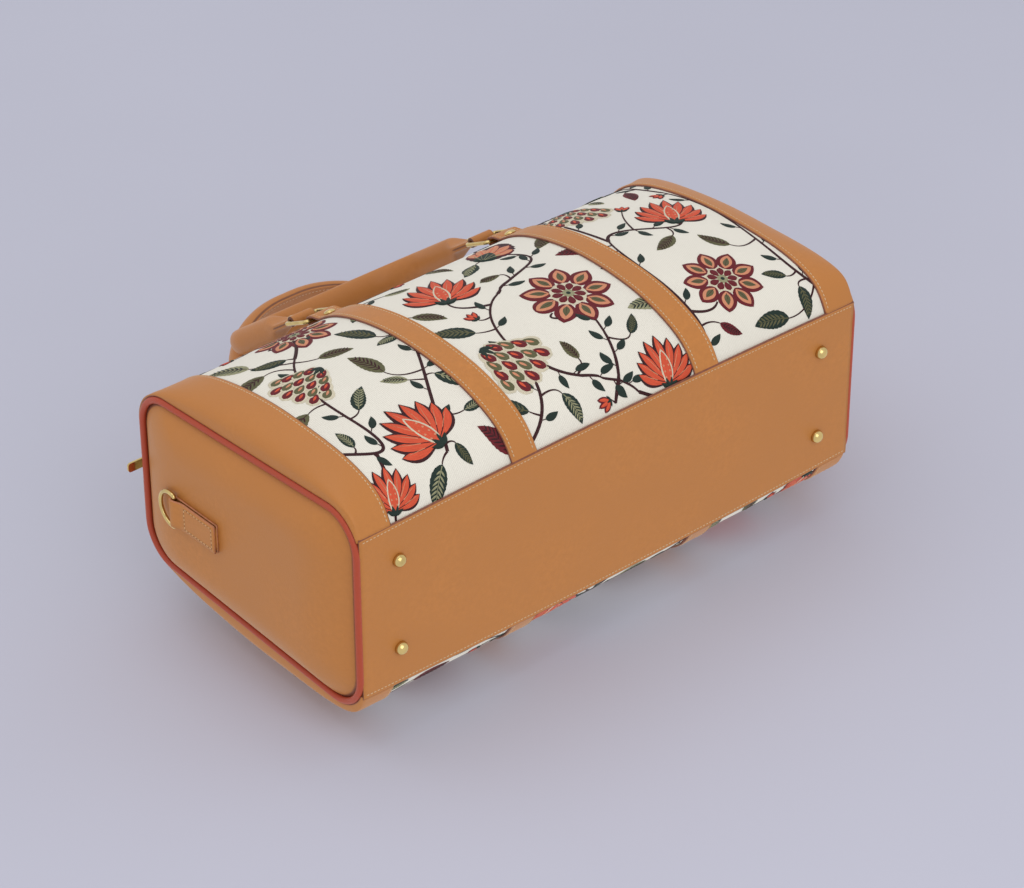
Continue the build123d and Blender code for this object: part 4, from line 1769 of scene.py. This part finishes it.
@dataclass
class Handle:
    """A padded carrying handle with looped tabs, on its own body."""

    side: Side
    lean: float
    corner: float
    length: float = 410.0
    tab: tuple = (22.0, 5.0, 26.0)
    neck: float = 20.0
    grip: tuple = (24.0, 9.5, 2.5)
    eye_radius: float = 1.9
    rolled: bool = False
    start: float = 3.2
    round_points: int = 44
    lining_round: float = 0.3
    lining_wide: float = 1.18
    layer_line: Pair = (0.6, 0.1)
    tab_ease: float = 0.22
    dome_ease: float = 0.9
    sewn_skip: int = 22
    rolled_seam: Pair = (2.4, 2.06)
    lining_seam: float = 8.6
    dome_seam: Pair = (5.2, 9.9)
    dome_tilt: Pair = (0.75, 0.66)
    loop_hide: float = 2.5
    loop_turn: Pair = (-238.0, 58.0)
    rivet: Stud = Stud(3.6, 2.0, 0.5, 0.4)
    rivet_up: float = 14.0

    @property
    def axes(self) -> tuple[Array, Array, Array]:
        """Axes of the handle's plane.

        Returns:
            Its foot, the direction up in it, and its normal.
        """
        up = LAYOUT.leaning(self.side, self.lean)
        foot = LAYOUT.bar(self.side, End.RIGHT) * (Y_AXIS + Z_AXIS)
        return foot, up, np.array([0.0, up[2], -up[1]])

    def line(self) -> Array:
        """The handle's line in its plane, from one bar round to the other.

        Returns:
            Points, each as place along X and height over the bars.
        """
        straight = self.length - math.pi * self.corner - 2 * (LAYOUT.strap_x - self.corner)
        height = straight / 2 + self.corner
        x = LAYOUT.strap_x
        corners = [(-x, self.start), (-x, height), (x, height), (x, self.start)]
        return rounded_path(corners, self.corner, False, 2.5)

    def section(self, far: Array) -> tuple[Array, Array]:
        """Section of the handle at a distance from the nearer bar.

        Round the angle, the tab is a rectangle with eased corners and the grip is half an ellipse
        outwards over a flat lining, or over a second half ellipse where it is rolled; a smooth
        step over the neck turns one into the other. Paint marks the line between the two layers.

        Args:
            far: Distance from the nearer bar at each path point.

        Returns:
            The sections, and the edge paint round them.
        """
        angle = np.linspace(0, 2 * math.pi, self.round_points, endpoint=False)
        c, s = np.cos(angle), np.sin(angle)
        tab = np.stack([self.tab[0] / 2 * np.sign(c) * np.abs(c) ** self.tab_ease,
                        self.tab[1] / 2 * np.sign(s) * np.abs(s) ** self.tab_ease], axis=1)
        width, dome, lining = self.grip
        if self.rolled:
            out = np.where(c > 0, dome, lining) * np.sign(c) * np.abs(c) ** self.dome_ease
            wide = width / 2 * s
            seam = np.exp(-((s - 1) / 0.012) ** 2)
        else:
            outer = dome * np.abs(c) ** self.dome_ease
            out = np.where(c > 0, outer, -lining * np.clip(np.abs(c) / self.lining_round, 0, 1))
            wide = width / 2 * np.where(c > 0, s, np.clip(self.lining_wide * s, -1, 1))
            seam = np.exp(-((c + 0.07) / 0.09) ** 2) * (np.abs(s) > 0.9)
        grip = np.stack([out, wide], axis=1)
        t = np.clip((far - self.tab[2]) / self.neck, 0, 1)[:, None]
        t = t * t * (3 - 2 * t)
        layers = self.layer_line[0] * np.exp(-(s / self.layer_line[1]) ** 2)
        paint = (2 * t - 1) ** 2 * ((1 - t) * layers + t * seam)
        return (1 - t)[..., None] * tab + t[..., None] * grip, paint

    def build(self) -> None:
        """Carry the section round the handle, and add its tab loops, stitches and rivets."""
        foot, up, normal = self.axes
        line = self.line()
        path = foot + line[:, :1] * X_AXIS + line[:, 1:] * up
        along = lengths_along(path)
        far = np.minimum(along, along[-1] - along) + self.start
        section, paint = self.section(far)
        if np.cross(tangents(path, False)[3], normal) @ X_AXIS > 0:
            section = section * np.array([-1.0, 1.0])
        body = f"{self.side.word}_handle"
        patches = [carried(path, normal, section, paint, False)]
        patches += [self.loop(end) for end in End]
        make_piece(f"{body}_hide", Patch.join(patches), HANDLE_HIDE, body, [body])
        across = np.cross(tangents(path, False), normal)
        inwards = -np.sign(section[len(path) // 2, 0, 0]) * across
        keep = slice(self.sewn_skip, len(path) - self.sewn_skip)
        rows = []
        if self.rolled:
            sides = np.broadcast_to(normal, path.shape)
            on_side = path - inwards * self.rolled_seam[0] + normal * self.grip[0] / self.rolled_seam[1]
            rows.append(SEWN.row(on_side[keep], sides[keep]))
        for sign in () if self.rolled else (-1, 1):
            on_lining = path + inwards * self.grip[2] + normal * sign * self.lining_seam
            rows.append(SEWN.row(on_lining[keep], inwards[keep]))
            on_dome = path - inwards * self.dome_seam[0] + normal * sign * self.dome_seam[1]
            out = unit(-inwards * self.dome_tilt[0] + normal * sign * self.dome_tilt[1])
            rows.append(SEWN.row(on_dome[keep], out[keep]))
        sew(f"{body}_stitches", rows, body)
        self.rivets(body)

    def loop(self, end: End) -> Patch:
        """Tab leather looped round the ring's bar: a ring-shaped strip about the X axis.

        Args:
            end: End whose ring it holds.

        Returns:
            The patch.
        """
        foot, up, normal = self.axes
        angle = np.linspace(*self.loop_turn, 40) * math.pi / 180
        radial = np.cos(angle)[:, None] * normal + np.sin(angle)[:, None] * up
        half = self.loop_hide / 2
        path = foot + end.value * LAYOUT.strap_x * X_AXIS + radial * (self.eye_radius + half)
        place, rise, edge = hide_section(self.tab[0], self.loop_hide)
        return carried(path, X_AXIS, np.stack([rise - half, place], axis=1), edge, False)

    def rivets(self, body: str) -> None:
        """Small domed rivets on both faces of the two tabs.

        Args:
            body: The handle's body.
        """
        foot, up, normal = self.axes
        heads = []
        for end in End:
            for face in (-1, 1):
                seat = foot + end.value * LAYOUT.strap_x * X_AXIS + up * self.rivet_up
                heads.append(self.rivet.seated(seat + normal * face * self.tab[1] / 2, normal * face))
        make_piece(f"{body}_rivet_heads", Patch.join(heads), BRASS, body, [f"{body}_rivets"])


@dataclass(frozen=True)
class WireRing:
    """A bent wire ring: a rounded rectangle carried by a circle."""

    half: float
    reach: float
    wire: float
    radii: Places
    step: float

    def standing(self, foot: Array, across: Array, up: Array) -> Patch:
        """The ring with its lower bar in place.

        Args:
            foot: Middle of the lower bar.
            across: Direction of the bar.
            up: Direction from the bar to the far side.

        Returns:
            The patch.
        """
        half, reach = self.half, self.reach
        corners = [(half, 0), (half, reach), (-half, reach), (-half, 0)]
        line = rounded_path(corners, self.radii, True, self.step)
        path = foot + line[:, :1] * across + line[:, 1:] * up
        return carried(path, np.cross(across, up), round_section(self.wire), 0.0, True)


@dataclass
class Hardware:
    """Brass rings, rivets and feet."""

    ring: WireRing = WireRing(15.6, LAYOUT.ring_reach, 1.6, 2.8, 0.8)
    d_ring: WireRing = WireRing(14.6, 19.0, 1.75, (2.2, 14.3, 14.3, 2.2), 0.7)
    d_lean: float = 3.0
    rivet: Stud = Stud(5.0, 3.2, 0.7, 0.3)
    rivet_foot: Pair = (91.2347, 237.067)
    rivet_out: Pair = (0.7784, 0.6278)
    foot: Stud = Stud(5.5, 6.0, 1.2, 0.2)
    foot_place: Pair = (214.0, 39.5)

    def rings(self) -> None:
        """The four rings between straps and handles."""
        for side in Side:
            up = LAYOUT.leaning(side, LAYOUT.ring_lean)
            for end in End:
                name = f"{side.word}_{end.word}_ring"
                patch = self.ring.standing(LAYOUT.eye(side, end), X_AXIS, up)
                make_piece(f"{name}_wire", patch, BRASS, f"{side.word}_rings", [name])

    def d_rings(self) -> None:
        """The two shoulder rings, each with a straight bar and half a rounded bow over it."""
        turn = math.radians(self.d_lean)
        for end in End:
            up = np.array([-end.value * math.sin(turn), 0.0, math.cos(turn)])
            bar = np.array([end.value * LAYOUT.d_bar[0], 0.0, LAYOUT.d_bar[1]])
            name = f"{end.word}_d_ring"
            patch = self.d_ring.standing(bar, Y_AXIS, up)
            make_piece(f"{name}_wire", patch, BRASS, name, [name])

    def studs(self) -> None:
        """Strap rivets and the four feet."""
        heads = []
        for side in Side:
            for end in End:
                aside, level = self.rivet_foot
                seat = np.array([end.value * LAYOUT.strap_x, side.value * aside, level])
                out = np.array([0.0, side.value * self.rivet_out[0], self.rivet_out[1]])
                heads.append(self.rivet.seated(seat, out))
        make_piece("strap_rivet_heads", Patch.join(heads), BRASS, "bag", ["strap_rivets"])
        along, aside = self.foot_place
        feet = [self.foot.seated(np.array([x, y, LAYOUT.base]), -Z_AXIS)
                for x in (-along, along) for y in (-aside, aside)]
        make_piece("foot_studs", Patch.join(feet), BRASS, "bag", ["feet"])

    def build(self) -> None:
        """Build the brass."""
        self.rings()
        self.d_rings()
        self.studs()


@dataclass
class ShoulderTabs:
    """Folded hide tabs on the two ends that hold the shoulder rings."""

    face: float = 264.0
    width: float = 25.0
    length: float = 50.0
    loop_radius: float = 2.8
    settle: float = 3.0
    settle_run: float = 11.0
    seam_half: float = 9.2
    seam_inset: float = 3.2
    seam_top: float = 13.0
    seam: Stitching = Stitching(3.6, 2.5)
    # Short dark dots between the stitches, as painted shade in the stitch holes.
    painted_hole_shade: Stitching = Stitching(3.6, 1.1, 0.0)

    def build(self) -> None:
        """Fold a strip of hide round each bar, stitch its two layers together, and lay dark dots between
        the stitches as painted shade in the stitch holes.
        """
        place, rise, edge = hide_section(self.width, LAYOUT.hide)
        for end in End:
            x, z = LAYOUT.d_bar
            low = z - self.length
            inner = np.stack([np.full(20, self.face + LAYOUT.hide / 2), np.linspace(low, z, 20)], axis=1)
            angles = np.linspace(180, 0, 22)[1:] * math.pi / 180
            radius = self.loop_radius
            loop = np.stack([x + radius * np.cos(angles), z + radius * np.sin(angles)], axis=1)
            t = np.linspace(0, 1, 12)[1:]
            ease = t * t * (3 - 2 * t)
            back = np.stack([x + radius - self.settle * ease, z - self.settle_run * t], axis=1)
            outer_z = np.linspace(z - self.settle_run - 0.5, low, 20)
            outer = np.stack([np.full(20, x + radius - self.settle), outer_z], axis=1)
            flat = np.concatenate([inner, loop, back, outer])
            path = np.stack([end.value * flat[:, 0], 0 * flat[:, 0], flat[:, 1]], axis=1)
            section = np.stack([rise - LAYOUT.hide / 2, place], axis=1)
            patch = carried(path, Y_AXIS, section, edge, False)
            name = f"{end.word}_d_ring_tab"
            make_piece(f"{name}_hide", patch, TAB_HIDE, "bag", [name])
            wide, bottom, top = self.seam_half, low + self.seam_inset, z - self.seam_top
            box = rounded_path([(-wide, bottom), (wide, bottom), (wide, top), (-wide, top)], 0.6, True, 0.5)
            box = np.concatenate([box, box[:1]])
            seam_x = x + radius - self.settle + LAYOUT.hide / 2
            seam = np.insert(box, 0, end.value * seam_x, axis=1)
            out = np.broadcast_to(end.value * X_AXIS, seam.shape)
            sew(f"{name}_stitches", [self.seam.row(seam, out)], finish=TAB_STITCH)
            # Dark dots between the stitches: painted shade in the stitch holes.
            sew(f"{name}_stitch_holes", [self.painted_hole_shade.row(seam, out)], finish=PAINTED_HOLE_SHADE)


@dataclass
class Zip:
    """Tape, teeth, stops, slider and pull along the crest."""

    level: float = 270.5
    half_length: float = 249.0
    half_tape: float = 12.0
    thickness: float = 0.8
    teeth_half: float = 239.0
    pitch: float = 4.0
    seam_inset: float = 2.5
    tooth_half: Pair = (0.98, 1.9)
    tooth_square: float = 1.3
    tooth_shift: float = 0.6
    tooth_sides: int = 8
    tooth_levels: tuple = ((0.0, 0.0), (0.0, 1.0), (1.3, 1.0), (1.8, 0.72), (1.8, 0.0))

    def tape(self) -> None:
        """Flat woven tape with two rows of stitches."""
        x = np.linspace(-self.half_length, self.half_length, 61)
        place, rise, edge = hide_section(2 * self.half_tape, self.thickness)
        path = np.stack([x, 0 * x, 0 * x + self.level], axis=1)
        section = np.stack([place, rise], axis=1)
        patch = carried(path, Z_AXIS, section, 0 * edge, False)
        make_piece("zip_tape_cloth", patch, TAPE, "bag", ["zip_tape"])
        rows = []
        for sign in (-1, 1):
            seam = path[2:-2] + np.array([0.0, sign * (self.half_tape - self.seam_inset), self.thickness])
            rows.append(SEWN.row(seam, np.broadcast_to(Z_AXIS, seam.shape)))
        sew("zip_tape_stitches", rows)

    def teeth(self) -> None:
        """Interlocking teeth: eased blocks set by turns from the two tapes."""
        count = int(2 * self.teeth_half / self.pitch) * 2
        centre = -self.teeth_half + (np.arange(count) + 0.5) * self.pitch / 2
        sign = np.where(np.arange(count) % 2, 1.0, -1.0)
        sides = self.tooth_sides
        ring = np.clip(self.tooth_square * round_section(1.0, 2 * sides)[1::2], -1, 1) * self.tooth_half
        shape = np.concatenate([np.insert(ring * grow, 2, height, axis=1)
                                for height, grow in self.tooth_levels])
        seat = np.full(count, self.level + self.thickness)
        middle = np.stack([centre, self.tooth_shift * sign, seat], axis=1)
        points = middle[:, None] + shape[None]
        quads = grid_quads(len(self.tooth_levels), sides, False, True)
        patch = Patch.copies(points, quads, points[..., :2])
        make_piece("zip_teeth_row", patch, BRASS, "bag", ["zip_teeth"])

    def build(self) -> None:
        """Build the zip and dress its cast pieces."""
        self.tape()
        self.teeth()
        for node in ("zip_stops", "zip_slider", "zip_pull"):
            dress_node(node, BRASS)


# Stage


def stand(obj: bpy.types.Object, right: Array, up: Array, back: Array, place: Sequence[float]) -> None:
    """Put a lamp or camera into the scene.

    Args:
        obj: The lamp or camera.
        right: Direction of its X axis.
        up: Direction of its Y axis.
        back: Direction of its Z axis.
        place: Where it stands.
    """
    columns = np.column_stack([right, up, back, place])
    obj.matrix_world = Matrix(np.vstack([columns, [0, 0, 0, 1]]).tolist())
    bpy.context.scene.collection.objects.link(obj)


@dataclass
class Studio:
    """Floor sheets, lamps and the camera, in metres."""

    floor_colour: Colour = (0.49, 0.492, 0.575)
    far: float = 6.0
    rear: float = 0.1235
    sky_colour: tuple = (0.97, 0.975, 1.0, 1.0)
    sky_strength: float = 0.86
    lens: float = 129.22
    sensor: float = 36.0
    clip_end: float = 50.0
    camera_place: Colour = (-1.5627, -1.5797, -1.6869)
    camera_right: Colour = (0.7569, 0.0023, -0.6535)
    camera_down: Colour = (-0.3637, 0.8323, -0.4183)
    camera_ahead: Colour = (0.5430, 0.5543, 0.6308)

    def sheet_material(self, name: str, from_above: bool) -> bpy.types.Material:
        """Pale floor that shows from one side only.

        The ground shows from above and is clear from below. The sheet behind the bag shows only
        to rays that have come through the clear ground, or that reach it below the ground.

        Args:
            name: Name of the material.
            from_above: True for the ground.

        Returns:
            The material.
        """
        g = Graph(name)
        clouds = g.noise(g.place(False), 2.2, 2.0)
        colour = g.mottle(clouds, (0.3, 0.7), self.floor_colour, (0.985, 1.015))
        g.finish(Base_Color=colour, Roughness=0.9, Specular_IOR_Level=0.1)
        clear = g.add("BsdfTransparent").outputs[0]
        if from_above:
            hidden = g.add("NewGeometry").outputs["Backfacing"]
        else:
            depth = g.add("LightPath").outputs["Transparent Depth"]
            spot = g.add("SeparateXYZ", {0: g.add("NewGeometry").outputs["Position"]}).outputs["Z"]
            direct = g.maths("LESS_THAN", depth, 0.5)
            hidden = g.maths("MULTIPLY", direct, g.maths("GREATER_THAN", spot, 0.0))
        mix = g.add("MixShader", {0: hidden, 1: g.shader.outputs[0], 2: clear})
        g.links.new(mix.outputs[0], g.output.inputs["Surface"])
        return g.material

    def sheet(self, name: str, corners: Sequence[Colour], from_above: bool) -> None:
        """A large flat stage sheet that casts no light or shade of its own.

        Args:
            name: Its name.
            corners: Its four corners.
            from_above: True for the ground.
        """
        mesh = bpy.data.meshes.new(name)
        mesh.from_pydata(corners, [], [(0, 1, 2, 3)])
        mesh.materials.append(self.sheet_material(name + "_paint", from_above))
        obj = bpy.data.objects.new(name, mesh)
        bpy.context.scene.collection.objects.link(obj)
        obj.visible_shadow = False
        obj.visible_diffuse = False
        obj.visible_glossy = False
        obj.visible_transmission = False

    def lamp(self, name: str, place: Colour, aim: Colour, size: float, power: float) -> None:
        """A soft square lamp.

        Args:
            name: Its name.
            place: Where it stands.
            aim: Point that it is turned to.
            size: Its side.
            power: Its power in watts.
        """
        light = bpy.data.lights.new(name, "AREA")
        light.shape = "SQUARE"
        light.size = size
        light.energy = power
        back = unit(np.subtract(place, aim))
        right = unit(np.cross([0.0, 0.3, 1.0], back))
        stand(bpy.data.objects.new(name, light), right, np.cross(back, right), back, place)

    def camera(self) -> None:
        """The photograph's camera, low in front of the left end, looking up under the bag."""
        data = bpy.data.cameras.new("photo_camera")
        data.sensor_fit = "HORIZONTAL"
        data.sensor_width = self.sensor
        data.lens = self.lens
        data.clip_end = self.clip_end
        obj = bpy.data.objects.new("photo_camera", data)
        right, down, ahead = (unit(np.array(way)) for way in (self.camera_right, self.camera_down,
                                                              self.camera_ahead))
        stand(obj, right, -down, -ahead, self.camera_place)
        bpy.context.scene.camera = obj

    def build(self) -> None:
        """Set the stage."""
        self.camera()
        far, rear = self.far, self.rear
        square = ((-far, -far), (far, -far), (far, far), (-far, far))
        self.sheet("ground", [(x, y, 0.0) for x, y in square], True)
        self.sheet("rear_sheet", [(x, rear, z) for x, z in square], False)
        world = bpy.data.worlds.new("studio_world")
        world.use_nodes = True
        sky = world.node_tree.nodes["Background"]
        sky.inputs["Color"].default_value = self.sky_colour
        sky.inputs["Strength"].default_value = self.sky_strength
        bpy.context.scene.world = world
        self.lamp("key_lamp", (-0.5, -2.2, 0.7), (0.0, 0.0, 0.13), 2.0, 9.0)
        self.lamp("under_lamp", (-0.6, -1.3, -1.7), (0.0, 0.0, 0.1), 1.8, 14.0)
        bpy.context.scene.view_settings.view_transform = "Standard"


def main() -> None:
    """Build the bag piece by piece and set the stage."""
    logging.basicConfig(level=logging.INFO, format="%(name)s %(message)s")
    Studio().build()
    CanvasBody().build()
    Embroidery(Side.FRONT).build()
    Embroidery(Side.BACK, -1, 11).build()
    LeatherTrim().build()
    Handle(Side.FRONT, 37.0, 39.97, grip=(21.0, 9.5, 6.5), rolled=True).build()
    Handle(Side.BACK, 20.0, 84.88).build()
    Hardware().build()
    ShoulderTabs().build()
    Zip().build()
    dress_node("base_board", BOARD)


if __name__ == "__main__":
    main()
